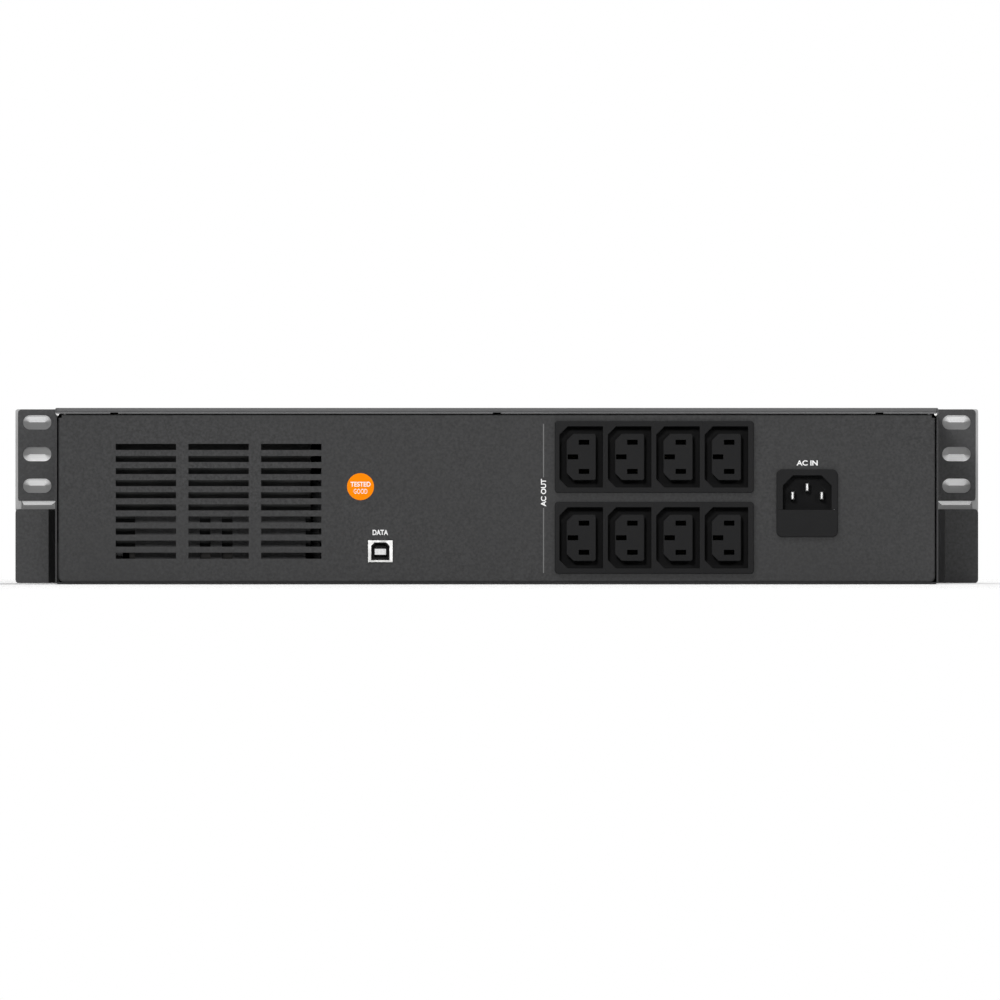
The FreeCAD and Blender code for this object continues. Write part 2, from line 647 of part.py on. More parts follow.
def usb_insert():
    """A plug of insulation behind the opening, and the tongue that carries the contacts."""
    back = DATA_BACK_Y - 1
    body = prism_xz(data_outline(-0.02), (DATA_FLOOR_Y, back))
    tongue = centred(DATA_X, DATA_Z - 0.25, (6.3, 3.3), (DATA_FRONT_Y + 0.8, DATA_FLOOR_Y))
    return fuse(body, tongue)


def comm_board():
    top = DATA_Z - DATA_SHELL[1] / 2
    return box((-77, -38), (REAR_Y + 2, REAR_Y + 38), (top - 1.6, top))


# ---------------------------------------------------------------- fan
def to_fan(shape, x):
    """Takes a shape drawn round +Z to the fan's axis, which runs along +X."""
    moved = shape.copy()
    moved.rotate(Vector(0, 0, 0), Vector(0, 1, 0), 90)
    moved.translate(Vector(x, *FAN_YZ))
    return moved


def fan_frame():
    """A square frame round the rotor, with four struts to the motor's seat and bearing tube."""
    half, depth = FAN_SIZE / 2, FAN_DEPTH
    frame = Part.makeBox(FAN_SIZE, FAN_SIZE, depth, Vector(-half, -half, 0))
    upright = edges_where(frame, lambda b: b.ZLength > 20)
    frame = frame.makeFillet(4.0, upright)
    wall_r, bore_r, corner_plate = 39.6, 38.0, 4.0
    waist = cut(Part.makeBox(FAN_SIZE + 2, FAN_SIZE + 2, depth - 2 * corner_plate,
                             Vector(-half - 1, -half - 1, corner_plate)),
                Part.makeCylinder(wall_r, depth, Vector(0, 0, 0)))
    bore = Part.makeCylinder(bore_r, depth + 2, Vector(0, 0, -1))
    ends = (-FAN_HOLE, FAN_HOLE)
    holes = [Part.makeCylinder(2.1, depth + 2, Vector(a, b, -1)) for a in ends for b in ends]
    frame = cut(frame, waist, bore, *holes)
    floor_t = 2.5              # struts and motor seat
    struts = [Part.makeBox(38.6, 3, floor_t, Vector(0, -1.5, depth - floor_t)) for _ in range(4)]
    for i, strut in enumerate(struts):
        strut.rotate(Vector(0, 0, 0), Vector(0, 0, 1), 45 + 90 * i)
    seat = Part.makeCylinder(17, floor_t, Vector(0, 0, depth - floor_t))
    tube = Part.makeCylinder(4, 16, Vector(0, 0, depth - floor_t - 16))
    frame = fuse(frame, *struts, seat, tube)
    bearing = Part.makeCylinder(SPINDLE_R + 0.05, 15, Vector(0, 0, depth - 19))
    return to_fan(cut(frame, bearing), FAN_X)


def fan_rotor():
    """A cup-shaped hub on its spindle, with seven pitched blades."""
    low, high = 1.5, 20.5
    hub_r, tip_r = 17.5, 36.6
    cup = Part.makeCylinder(hub_r - 2, high, Vector(0, 0, low + 2))
    hub = cut(Part.makeCylinder(hub_r, high - low, Vector(0, 0, low)), cup)
    hub = fuse(hub, Part.makeCylinder(SPINDLE_R, 16, Vector(0, 0, low + 1)))
    swept = Part.makeCylinder(tip_r, high - low, Vector(0, 0, low))
    ring = cut(swept, Part.makeCylinder(hub_r - 1, 40, Vector(0, 0, -5)))
    blades = []
    for i in range(7):
        blade = Part.makeBox(40, 24, 1.5, Vector(0, -12, -0.75))
        blade.rotate(Vector(0, 0, 0), Vector(1, 0, 0), 36)
        blade.translate(Vector(0, 0, (low + high) / 2))
        blade.rotate(Vector(0, 0, 0), Vector(0, 0, 1), 360 * i / 7)
        blades.append(blade.common(ring))
    return to_fan(fuse(hub, *blades), FAN_X)


# ---------------------------------------------------------------- transformer
def transformer_core():
    """Stacked laminations: a block with two windows, bolted at its corners."""
    middle, leg = CORE_MIDDLE_X, CORE_LEG
    windows = [
        box((middle + a, middle + b), (CORE_Y[0] + leg, CORE_Y[1] - leg), (CORE_Z[0] - 1, CORE_Z[1] + 1))
        for a, b in ((-2 * leg, -leg), (leg, 2 * leg))
    ]
    holes = [rod((x, y, CORE_Z[0] - 1), (0, 0, 1), CORE_BOLT_HOLE_R, 60) for x, y in core_corners()]
    return cut(box(CORE_X, CORE_Y, CORE_Z), *windows, *holes)


def core_corners():
    return [(x, y) for x in (CORE_X[0] + 6, CORE_X[1] - 6) for y in (CORE_Y[0] + 6, CORE_Y[1] - 6)]


def transformer_bobbin():
    """A tube round the middle leg with a flange at each end."""
    middle, play, t = CORE_MIDDLE_X, 0.2, 2.0
    y = (CORE_Y[0] + CORE_LEG + play / 2, CORE_Y[1] - CORE_LEG - play / 2)
    inner, outer = CORE_LEG + play, CORE_LEG + t
    leg = box((middle - inner, middle + inner), (y[0] - 1, y[1] + 1), (CORE_Z[0] - play, CORE_Z[1] + play))
    tube = box((middle - outer, middle + outer), y, (CORE_Z[0] - t, CORE_Z[1] + t))
    half = 2 * CORE_LEG - play
    flanges = [box((middle - half, middle + half), f, (5, 83)) for f in ((y[0], y[0] + t), (y[1] - t, y[1]))]
    return cut(fuse(tube, *flanges), leg)


def transformer_winding():
    """The taped coil round the bobbin's tube."""
    middle = CORE_MIDDLE_X
    y = (CORE_Y[0] + CORE_LEG + 2.2, CORE_Y[1] - CORE_LEG - 2.2)
    coil = round_y_edges(box((middle - 34, middle + 34), y, (7, 81)), 7)
    half, rise = CORE_LEG + 2.1, 2.1
    tube = box((middle - half, middle + half), (y[0] - 1, y[1] + 1), (CORE_Z[0] - rise, CORE_Z[1] + rise))
    return cut(coil, tube)


def transformer_cradle():
    """A folded plate under the transformer, slotted at the rear, and a bar under each side of the core."""
    low, t = PAN_T + FIT, 2.0
    plate = box(CRADLE_X, CRADLE_Y, (low, low + t))
    rear = box(CRADLE_X, (CRADLE_Y[0], CRADLE_Y[0] + t), (low, CRADLE_TOP))
    front = box(CRADLE_X, (CRADLE_Y[1] - t, CRADLE_Y[1]), (low, CRADLE_TOP))
    slot_w = 5.3
    slots = [
        box((x, x + slot_w), (CRADLE_Y[0] - 1, CRADLE_Y[0] + t + 1), (5, CRADLE_TOP + 1))
        for x in (-146.8, -135.9)
    ]
    folded = cut(fuse(plate, rear, front), *slots)
    y = (CORE_Y[0] + 2, CORE_Y[1] - 2)
    bars = [box((-199, -185), y, (low, CORE_Z[0])), box((-107, -95), y, (low + t, CORE_Z[0]))]
    holes = [rod((hx, hy, 0), (0, 0, 1), CORE_BOLT_HOLE_R, 30) for hx, hy in core_corners()]
    return group([folded, *[cut(bar, *holes) for bar in bars]])


def transformer_bolts():
    """Four hexagon bolts down through the core."""
    corner_r, head_h, foot_z = 4.4, 3.2, 6
    solids = []
    for x, y in core_corners():
        turns = [math.radians(60 * i) for i in range(6)]
        corners = [(x + corner_r * math.cos(turn), y + corner_r * math.sin(turn)) for turn in turns]
        head = prism_xy(corners, (CORE_Z[1], CORE_Z[1] + head_h))
        solids.append(fuse(head, rod((x, y, foot_z), (0, 0, 1), CORE_BOLT_R, CORE_Z[1] - foot_z)))
    return group(solids)


# ---------------------------------------------------------------- boards and wiring
def main_board():
    holes = [rod((x, y, 0), (0, 0, 1), 1.7, 20) for x, y in STANDOFFS]
    return cut(box(BOARD_X, BOARD_Y, BOARD_Z), *holes)


def comm_standoffs():
    return [(x, y) for x in (-66.5, -42.0) for y in (REAR_Y + 21, REAR_Y + 34)]


def board_standoffs():
    solids = [rod((x, y, PAN_T), (0, 0, 1), 3.0, BOARD_Z[0] - PAN_T) for x, y in STANDOFFS]
    top = DATA_Z - DATA_SHELL[1] / 2 - 1.6
    solids += [rod((x, y, PAN_T), (0, 0, 1), 2.5, top - PAN_T) for x, y in comm_standoffs()]
    return group(solids)


def pan_screw(place, direction, shank_r, head_r, head_h, length):
    """A pan-head screw: the shank runs along the direction, and the head stands behind the place."""
    back = [p - d * head_h for p, d in zip(place, direction)]
    return fuse(rod(back, direction, head_r, head_h), rod(place, direction, shank_r, length))


def m3_screws():
    """The screws of the main board and of the fan."""
    solids = [pan_screw((x, y, BOARD_Z[1]), (0, 0, -1), 1.4, 2.8, 2.0, 1.5) for x, y in STANDOFFS]
    solids += [pan_screw((PARTITION_X, y, z), (1, 0, 0), 1.4, 2.8, 2.0, 10.0) for y, z in fan_corners()]
    return group(solids)


def heatsink(x, side):
    """An upright plate on the board with seven fins to one side."""
    y = (-90.0, 10.0)
    plate = box((x - 2, x + 2), y, (BOARD_Z[1], 64))
    fins = []
    for i in range(7):
        z = 20 + 7 * i
        ends = sorted((x + side * 1.9, x + side * 24))
        fins.append(box(ends, y, (z, z + 1.8)))
    return fuse(plate, *fins)


def heatsinks():
    return group([heatsink(52, 1), heatsink(148, -1)])


def power_transistors():
    solids = []
    leg_top, body_top, tab_top = 24, 33.5, 40
    for x, side in ((52, -1), (148, 1)):
        for i in range(5):
            y = -80 + 20 * i
            near, far = x + side * 2, x + side * 6.5
            body = box(sorted((near, far)), (y - 5, y + 5), (leg_top, body_top))
            tab = box(sorted((near, near + side * 1.3)), (y - 5, y + 5), (body_top, tab_top))
            leg_x = sorted((near + side * 1.8, near + side * 2.6))
            legs = [box(leg_x, (y + d - 0.4, y + d + 0.4), (BOARD_Z[1], leg_top)) for d in (-2.5, 0, 2.5)]
            solids.append(fuse(body, tab, *legs))
    return group(solids)


def capacitors():
    low = BOARD_Z[1]
    large = [rod((x, y, low), (0, 0, 1), 11, 40) for x in (88, 112) for y in (-108, -80, -52, -24)]
    small = [rod((178, y, low), (0, 0, 1), 8, 26) for y in (-120, -98, -76)]
    return group([s.makeFillet(1.0, edges_where(s, lambda b, s=s: flat(b.ZMin, b.ZMax, s.BoundBox.ZMax)))
                  for s in large + small])


def relays():
    low = BOARD_Z[1]
    return group([box((170, 198), (y - 6.5, y + 6.5), (low, low + 16)) for y in (-51, -33, 4, 22, 40)])


def terminal_blocks():
    low = BOARD_Z[1]
    blocks = [box((24, 40), (y - 9, y + 9), (low, low + 14)) for y in (-64, -110)]
    blocks.append(box((140, 166), (-132, -120), (low, low + 12)))
    blocks.append(box((70, 116), (-134, -124), (low, low + 12)))
    blocks.append(box((97, 115), (84, 90), (low, low + 8)))
    return group(blocks)


def internal_wiring():
    """Battery cables, transformer leads and the mains wires."""
    wires = []
    block_x = 23.9             # side of the terminal blocks on the board
    for z, end_y in ((14, -60), (21, -68)):
        points = [(-87.9, -44, z), (-58, -44, z), (-26, -48, z), (0, end_y, z + 1), (12, end_y, 19),
                  (block_x, end_y, 19)]
        wires.append(wire_tube(points, 2.2))
    for i in range(3):
        y, end_y, start, drop = -48 - 4.5 * i, -104 - 6 * i, -150 + 14 * i, 4.5 * i
        points = [(start, -86, 78), (start, -62 + 2 * i, 78), (start + 30, y, 72 - drop),
                  (-50, y, 56 - drop), (-12, y - 40, 40 - drop), (2, end_y, 30 - drop),
                  (12, end_y, 20), (block_x, end_y, 20)]
        wires.append(wire_tube(points, 1.5))
    for x in (INLET_X - BLADE_SPACING / 2, INLET_X + BLADE_SPACING / 2):
        points = [(x, INLET_BACK_Y + 9.2, LINE_BLADE_Z), (x, INLET_BACK_Y + 20, LINE_BLADE_Z),
                  (x, -126, 34), (x, -126, 23.6)]
        wires.append(wire_tube(points, 1.4))
    return group(wires)


def display_ribbon():
    """A flat cable from the control board down to the main board."""
    x, half_w, half_t = 106, 7, 0.5
    start_y, start_z = 176, 41
    path = route([(x, start_y, start_z), (x, 156, start_z), (x, 140, 40), (x, 122, 30), (x, 104, 16),
                  (x, 90.2, 16)])
    profile = rectangle_xz((x - half_w, x + half_w), (start_z - half_t, start_z + half_t), start_y)
    return path.makePipeShell([profile], True, False)


# ---------------------------------------------------------------- battery drawer
def battery_spans():
    """X extents of the two batteries, with the terminals' gap between them."""
    left = BATTERY_GAP_X - BATTERY_GAP / 2
    right = BATTERY_GAP_X + BATTERY_GAP / 2
    return ((left - BATTERY[0], left), (right, right + BATTERY[0]))


def battery_tray():
    """The drawer's sheet metal: floor, low sides and rear, and a tall front plate."""
    t, (x0, x1), low = PANEL_T, DRAWER_X, DRAWER_LOW
    plate_y = (FRONT_Y + FIT, FRONT_Y + FIT + t)
    floor = box((x0, x1), (DRAWER_BACK_Y, plate_y[1]), (low, low + t))
    left = box((x0, x0 + t), (DRAWER_BACK_Y, plate_y[1]), (low, DRAWER_SIDE_TOP))
    right = box((x1 - t, x1), (DRAWER_BACK_Y, plate_y[1]), (low, DRAWER_SIDE_TOP))
    rear = box((x0, x1), (DRAWER_BACK_Y, DRAWER_BACK_Y + t), (low, DRAWER_SIDE_TOP))
    plate = box((x0, x1), plate_y, (low, DRAWER_PLATE_TOP))
    holes = [rod((x, plate_y[0] - 1, CAPTIVE_Z), (0, 1, 0), 2.3, 4) for x in CAPTIVE_X.values()]
    wires = [rod((BATTERY_GAP_X + d, DRAWER_BACK_Y - 1, PLUG_Z), (0, 1, 0), 2.6, 4) for d in LEAD_X]
    return cut(fuse(floor, left, right, rear, plate), *holes, *wires)


def battery_lids():
    """The X of each battery's lid, and the direction in which its terminals point."""
    left, right = battery_spans()
    return ((left[1], 1), (right[0], -1))


def terminal_tab(lid_x, out, y, root=0.0):
    """One push-on tab, which may start below the lid's face."""
    half_w, half_t, reach = TAB_W / 2, TAB_T / 2, 5.6
    x = sorted((lid_x - out * root, lid_x + out * reach))
    return box(x, (y - half_w, y + half_w), (TERMINAL_Z - half_t, TERMINAL_Z + half_t))


def batteries():
    """Two sealed batteries on their sides, each with a lid line and two tab terminals."""
    low = DRAWER_LOW + PANEL_T + FIT
    y, z = (BATTERY_Y, BATTERY_Y + BATTERY[1]), (low, low + BATTERY[2])
    line_depth = 0.5
    solids = []
    for x, (lid_x, out) in zip(battery_spans(), battery_lids()):
        block = box(x, y, z)
        long_edges = edges_where(block, lambda b: b.XLength > 50)
        block = block.makeFillet(2.5, long_edges)
        seam = lid_x - out * 9
        inner = box((seam - 1, seam + 1), (y[0] + line_depth, y[1] - line_depth),
                    (z[0] + line_depth, z[1] - line_depth))
        lid_line = cut(box((seam - 0.4, seam + 0.4), (y[0] - 1, y[1] + 1), (z[0] - 1, z[1] + 1)), inner)
        tabs = [terminal_tab(lid_x, out, at) for at in TERMINAL_Y]
        solids.append(fuse(cut(block, lid_line), *tabs))
    return group(solids)


def battery_leads():
    """The leads to the plug and the link between the batteries, each with push-on sleeves."""
    sleeves, wires = [], []
    for lid_x, out in battery_lids():
        for y in TERMINAL_Y:
            x = sorted((lid_x + out * 1.0, lid_x + out * 6.4))
            sleeve = box(x, (y - 4, y + 4), (TERMINAL_Z - 2, TERMINAL_Z + 2))
            sleeves.append(cut(sleeve, terminal_tab(lid_x, out, y, root=1.0)))
    y = TERMINAL_Y[0]
    for d in LEAD_X:
        x = BATTERY_GAP_X + d
        points = [(x, y, TERMINAL_Z - 2), (x, y, TERMINAL_Z - 18), (x, y - 1, 30), (x, y - 9, PLUG_Z),
                  (x, DRAWER_BACK_Y, PLUG_Z)]
        wires.append(wire_tube(points, 1.9))
    y = TERMINAL_Y[1]
    link = box((BATTERY_GAP_X - 3, BATTERY_GAP_X + 3), (y - 3, y + 3), (TERMINAL_Z + 2, TERMINAL_Z + 5))
    return group(sleeves + wires + [link])


def battery_plug():
    """The drawer's half of the battery connector, on the outside of its rear."""
    body = centred(BATTERY_GAP_X, PLUG_Z, PLUG, (DRAWER_BACK_Y - 16, DRAWER_BACK_Y))
    bores = [rod((BATTERY_GAP_X + d, DRAWER_BACK_Y - 17, PLUG_Z), (0, 1, 0), 3.4, 10) for d in PLUG_PIN_X]
    return cut(body, *bores)


def battery_socket():
    """The fixed half: a cup that the plug slides into, two contact pins, and a foot on the pan."""
    y_back, y_mouth = -54.0, DRAWER_BACK_Y - 8
    wall, play = 3.0, 0.8
    outside = (PLUG[0] + 2 * wall, PLUG[1] + 2 * wall)
    cup = centred(BATTERY_GAP_X, PLUG_Z, outside, (y_back, y_mouth))
    hollow = centred(BATTERY_GAP_X, PLUG_Z, (PLUG[0] + play, PLUG[1] + play),
                     (DRAWER_BACK_Y - 18, y_mouth + 1))
    pins = [rod((BATTERY_GAP_X + d, y_back + 2, PLUG_Z), (0, 1, 0), 2.6, 22) for d in PLUG_PIN_X]
    half = outside[0] / 2
    foot = box((BATTERY_GAP_X - half, BATTERY_GAP_X + half), (y_back, y_mouth),
               (PAN_T + FIT, PLUG_Z - PLUG[1] / 2 - 2))
    return fuse(cut(cup, hollow), *pins, foot)


def drawer_glides():
    """Two nylon strips that carry the drawer."""
    y = (DRAWER_BACK_Y, FRONT_Y - PANEL_T - 2)
    return group([box(x, y, (PAN_T, DRAWER_LOW - FIT)) for x in ((-206, -194), (-16, -4))])


def drawer_fascia():
    """The drawer's moulded front: a shell with a finger pocket, ribs, and a well for each captive screw."""
    y0, y1 = FRONT_Y + FIT + PANEL_T, GRILLE_Y[1]
    x, z, wall = DRAWER_X, (DRAWER_LOW, INSET_TOP), WALL
    shell = box(x, (y0, y1), z)
    rim = edges_where(shell, lambda b: flat(b.YMin, b.YMax, y1))
    shell = shell.makeFillet(1.0, rim)
    inside = box((x[0] + wall, x[1] - wall), (y0 - 1, y1 - wall), (z[0] + wall, z[1] - wall))
    shell = cut(shell, inside)
    px, pz, depth = HANDLE_X, HANDLE_Z, HANDLE_DEPTH
    tub = box((px[0] - wall, px[1] + wall), (y1 - depth - wall, y1 - 0.5), (pz[0] - wall, pz[1] + wall))
    well_r, head_bore_r, shank_bore_r = 4.6, 4.1, 2.6
    wells = [rod((sx, y0, CAPTIVE_Z), (0, 1, 0), well_r, y1 - y0 - 0.5) for sx in CAPTIVE_X.values()]
    ceiling = box((x[0] + 0.5, x[1] - 0.5), (y0, y1 - 0.5), (z[1], z[1] + 10))
    shell = fuse(shell, tub, *[cut(well, ceiling) for well in wells])
    pocket = box(px, (y1 - depth, y1 + 1), pz)
    bores = [rod((sx, y0 - 1, CAPTIVE_Z), (0, 1, 0), shank_bore_r, 60) for sx in CAPTIVE_X.values()]
    seat_y = y1 - CAPTIVE_HEAD - 0.3
    heads = [rod((sx, seat_y, CAPTIVE_Z), (0, 1, 0), head_bore_r, 20) for sx in CAPTIVE_X.values()]
    grooves = [box((gx - 0.6, gx + 0.6), (y1 - 0.8, y1 + 1), (10, 66)) for gx in rib_places()]
    return cut(shell, pocket, *bores, *heads, *grooves)


def rib_places():
    """The X of each upright groove, on both sides of the finger pocket."""
    pitch = 6.0
    return [first + pitch * i for first in (-198.0, -54.0) for i in range(8)]


def captive_screw(x):
    """A long captive screw: slotted head, shank and a thinner tip through the chassis front."""
    face = GRILLE_Y[1] - 0.3
    seat = face - CAPTIVE_HEAD
    shoulder = FRONT_Y + FIT + PANEL_T + 1
    head = rod((x, seat, CAPTIVE_Z), (0, 1, 0), 3.9, CAPTIVE_HEAD)
    shank = rod((x, shoulder, CAPTIVE_Z), (0, 1, 0), 2.4, seat - shoulder)
    tip = rod((x, FRONT_Y - 6, CAPTIVE_Z), (0, 1, 0), 2.0, 10)
    slot = box((x - 5, x + 5), (face - 1.6, face + 1), (CAPTIVE_Z - 0.6, CAPTIVE_Z + 0.6))
    return cut(fuse(head, shank, tip), slot)


# ---------------------------------------------------------------- front bezel
def bezel_outline():
    """The bezel in plan: thin over the ears, and stepped forward between them."""
    left = [(-HALF_PANEL, FRONT_Y), (-HALF_PANEL, EAR_ZONE_Y), (-BEZEL_SHOULDER_X, EAR_ZONE_Y),
            (-BEZEL_NOSE_X, BEZEL_Y)]
    return left + [(-px, py) for px, py in reversed(left)]


def front_bezel():
    """The silver frame: two ends that cover the rack ears, and two windows."""
    body = prism_xy(bezel_outline(), (0, UNIT_HEIGHT))

    def upright(b, px, py):
        return b.ZLength > 50 and flat(abs(b.XMin), abs(b.XMax), px) and flat(b.YMin, b.YMax, py)
    rounded = ((HALF_PANEL, EAR_ZONE_Y, 2.5), (BEZEL_SHOULDER_X, EAR_ZONE_Y, 3.0),
               (BEZEL_NOSE_X, BEZEL_Y, 5.0))
    for px, py, r in rounded:
        body = body.makeFillet(r, edges_where(body, lambda b, px=px, py=py: upright(b, px, py)))
    for z in (0, UNIT_HEIGHT):
        ring = edges_where(body, lambda b, z=z: flat(b.ZMin, b.ZMax, z) and b.YMax > FRONT_Y + 0.5)
        body = body.makeFillet(1.2, ring)
    windows = [
        box(x, (FRONT_Y - 1, BEZEL_Y + 1), (WINDOW_LOW, WINDOW_TOP)) for x in (DRAWER_WINDOW, GRILLE_WINDOW)
    ]
    body = cut(body, *windows)
    left = bezel_end_cuts()
    body = cut(body, *left, *[mirrored(s) for s in left])
    roofs = bezel_end_roofs()
    return fuse(body, *roofs, *[mirrored(s) for s in roofs])


def bezel_end_cuts():
    """What comes out of the left end: the recess over the ear, its pits, and the clip block's seat."""
    ahead = FRONT_Y - 1
    flange_x = -HALF_BODY - EAR_T - 0.1
    recess = box((-HALF_PANEL + BEZEL_RIM, -222.0), (ahead, FLOOR_Y), (EAR_TAB_LOW, UNIT_HEIGHT - BEZEL_RIM))
    seat = box((-HALF_PANEL - 1, flange_x), (ahead, CLIP_BLOCK_Y[1]), (-1, CLIP_BLOCK_TOP))
    toe = box((flange_x - 0.1, -218.0), (ahead, CLIP_BLOCK_Y[1]), (-1, 1.5))
    gap = box((flange_x - 0.1, -218.0), (ahead, FRONT_Y + 8), (EAR_FLANGE[2] - 0.2, 84.9))
    groove = box((-HALF_PANEL + 3.0, flange_x), (ahead, FLOOR_Y), (CLIP_BLOCK_TOP - 0.5, EAR_TAB_LOW + 0.1))
    low, middle, high = EAR_SLOT_Z
    pit_y = (FLOOR_Y - 0.5, FLOOR_Y + PIT_DEPTH)
    pits = [slot_prism(-EAR_SLOT_X, z, PIT_LENGTH, PIT_R, pit_y) for z in (low, high)]
    valley = hip_roof(-EAR_SLOT_X, middle, PIT_LENGTH, PIT_R, FLOOR_Y - 0.01, FLOOR_Y + PIT_DEPTH)
    return [recess, seat, toe, gap, groove, *pits, valley]


def bezel_end_roofs():
    """What stands in the left end: a roof in the upper and lower pit, and a ridge under the tab."""
    low, _, high = EAR_SLOT_Z
    roofs = [hip_roof(-EAR_SLOT_X, z, PIT_LENGTH, PIT_R, FLOOR_Y + PIT_DEPTH, FLOOR_Y) for z in (low, high)]
    ridge_x = (-HALF_PANEL + 3.0, -HALF_BODY - EAR_T - 0.1)
    return [*roofs, hipped_ridge(ridge_x, (CLIP_BLOCK_TOP, EAR_TAB_LOW))]


def hipped_ridge(x, z):
    """A low ridge along X on the recess floor, which slopes down at both ends."""
    outer_hip, inner_hip, height, crest = 1.2, 2.4, 2.2, 0.1
    middle = (z[0] + z[1]) / 2
    foot = rectangle_xz(x, z, FLOOR_Y + 0.1)
    along = (x[0] + outer_hip, x[1] - inner_hip)
    top = rectangle_xz(along, (middle - crest, middle + crest), FLOOR_Y - height)
    return Part.makeLoft([foot, top], True, True)


def clip_block():
    """The dark block under the left ear's tab, which carries the bezel's snap and closes the rack opening."""
    x, y, z = (-HALF_PANEL, -HALF_BODY - EAR_T - 0.2), CLIP_BLOCK_Y, (0.0, CLIP_BLOCK_TOP)
    chamfer = (3.9, 5.5)
    outline = [(x[0], y[0]), (x[1] - chamfer[0], y[0]), (x[1], y[0] + chamfer[1]), (x[1], y[1] - FIT),
               (x[0], y[1] - FIT)]
    block = prism_xy(outline, z)
    corners = edges_where(block, lambda b: flat(b.XMin, b.XMax, x[0]) and b.YLength > 5)
    block = block.makeFillet(2.0, corners)
    return fuse(block, box((x[1] - 1, -218.1), (y[1] - 3, y[1] - FIT), (0, 1.4)))


def grille_panel():
    """The dark louvred panel on the other half of the front, with a window for the control module."""
    x, z, wall = (GRILLE_WINDOW[0] + 0.5, GRILLE_WINDOW[1] - 0.5), (WINDOW_LOW + 0.5, INSET_TOP), WALL
    shell = box(x, GRILLE_Y, z)
    rim = edges_where(shell, lambda b: flat(b.YMin, b.YMax, GRILLE_Y[1]))
    shell = shell.makeFillet(1.0, rim)
    inside = box((x[0] + wall, x[1] - wall), (GRILLE_Y[0] - 1, GRILLE_Y[1] - wall),
                 (z[0] + wall, z[1] - wall))
    window = box((CONTROL_X[0] - 0.5, CONTROL_X[1] + 0.5), (GRILLE_Y[0] - 2, GRILLE_Y[1] + 1),
                 (CONTROL_Z[0] - 0.5, CONTROL_Z[1] + 0.5))
    slots = []
    half_slot, lowest = VENT_SLOT[1] / 2, 14.0
    for slot_x in ((11.0, 57.0), (155.0, 201.0)):
        for i in range(VENT_ROWS):
            mid = lowest + VENT_PITCH * i
            slots.append(box(slot_x, (GRILLE_Y[1] - 4, GRILLE_Y[1] + 1), (mid - half_slot, mid + half_slot)))
    return cut(shell, inside, window, *slots)


# ---------------------------------------------------------------- control module
def control_housing():
    """The module on the chassis front that carries the display and the buttons."""
    wall = WALL
    shell = box(CONTROL_X, (FRONT_Y, CONTROL_FACE_Y), CONTROL_Z)
    rim = edges_where(shell, lambda b: flat(b.YMin, b.YMax, CONTROL_FACE_Y))
    shell = shell.makeFillet(1.0, rim)
    tabs = box((CONTROL_X[0] - 5, CONTROL_X[1] + 5), (FRONT_Y, FRONT_Y + 2), (36, 50))
    inside = box((CONTROL_X[0] + wall, CONTROL_X[1] - wall), (FRONT_Y - 1, CONTROL_FACE_Y - wall),
                 (CONTROL_Z[0] + wall, CONTROL_Z[1] - wall))
    window = box(LENS_X, (CONTROL_FACE_Y - 4, CONTROL_FACE_Y + 1), LENS_Z)
    holes = [rod((x, CONTROL_FACE_Y - 4, z), (0, 1, 0), r + 0.2, 6) for x, z, r in BUTTONS.values()]
    lights = [rod((x, CONTROL_FACE_Y - 4, LIGHT_Z), (0, 1, 0), 1.3, 6) for x in LIGHT_X]
    return cut(fuse(shell, tabs), inside, window, *holes, *lights)


def control_board():
    """The board behind the display, with a switch under each button."""
    inset, y = 2.5, (176, 177.6)
    board = box((CONTROL_X[0] + inset, CONTROL_X[1] - inset), y, (CONTROL_Z[0] + inset, CONTROL_Z[1] - inset))
    switches = [box((x - 3, x + 3), (y[1], SWITCH_TOP_Y), (z - 3, z + 3)) for x, z, r in BUTTONS.values()]
    return group([board, *switches])


def lcd_panel():
    """The display behind the module's face, a little larger than its window."""
    face = CONTROL_FACE_Y - WALL
    return box((LENS_X[0] - 1.5, LENS_X[1] + 1.5), (face - 5.8, face), (LENS_Z[0] - 2.5, LENS_Z[1] + 2.5))


def lcd_lens():
    """The clear cover in the display's window."""
    return box((LENS_X[0] + FIT, LENS_X[1] - FIT), (CONTROL_FACE_Y - 2.1, CONTROL_FACE_Y - 0.3),
               (LENS_Z[0] + FIT, LENS_Z[1] - FIT))


def light_pipes():
    return group([rod((x, 178.5, LIGHT_Z), (0, 1, 0), 1.2, CONTROL_FACE_Y - 178.4) for x in LIGHT_X])


def button(x, z, r):
    """A round cap with a collar that keeps it behind the module's face."""
    back, collar = CONTROL_FACE_Y - WALL - FIT, 1.4
    foot_y = SWITCH_TOP_Y + 1.8
    cap = rod((x, foot_y, z), (0, 1, 0), r, BUTTON_FACE_Y - foot_y)
    cap = cap.makeFillet(0.6, edges_where(cap, lambda b: flat(b.YMin, b.YMax, BUTTON_FACE_Y)))
    return fuse(cap, rod((x, back - collar, z), (0, 1, 0), r + 0.9, collar))


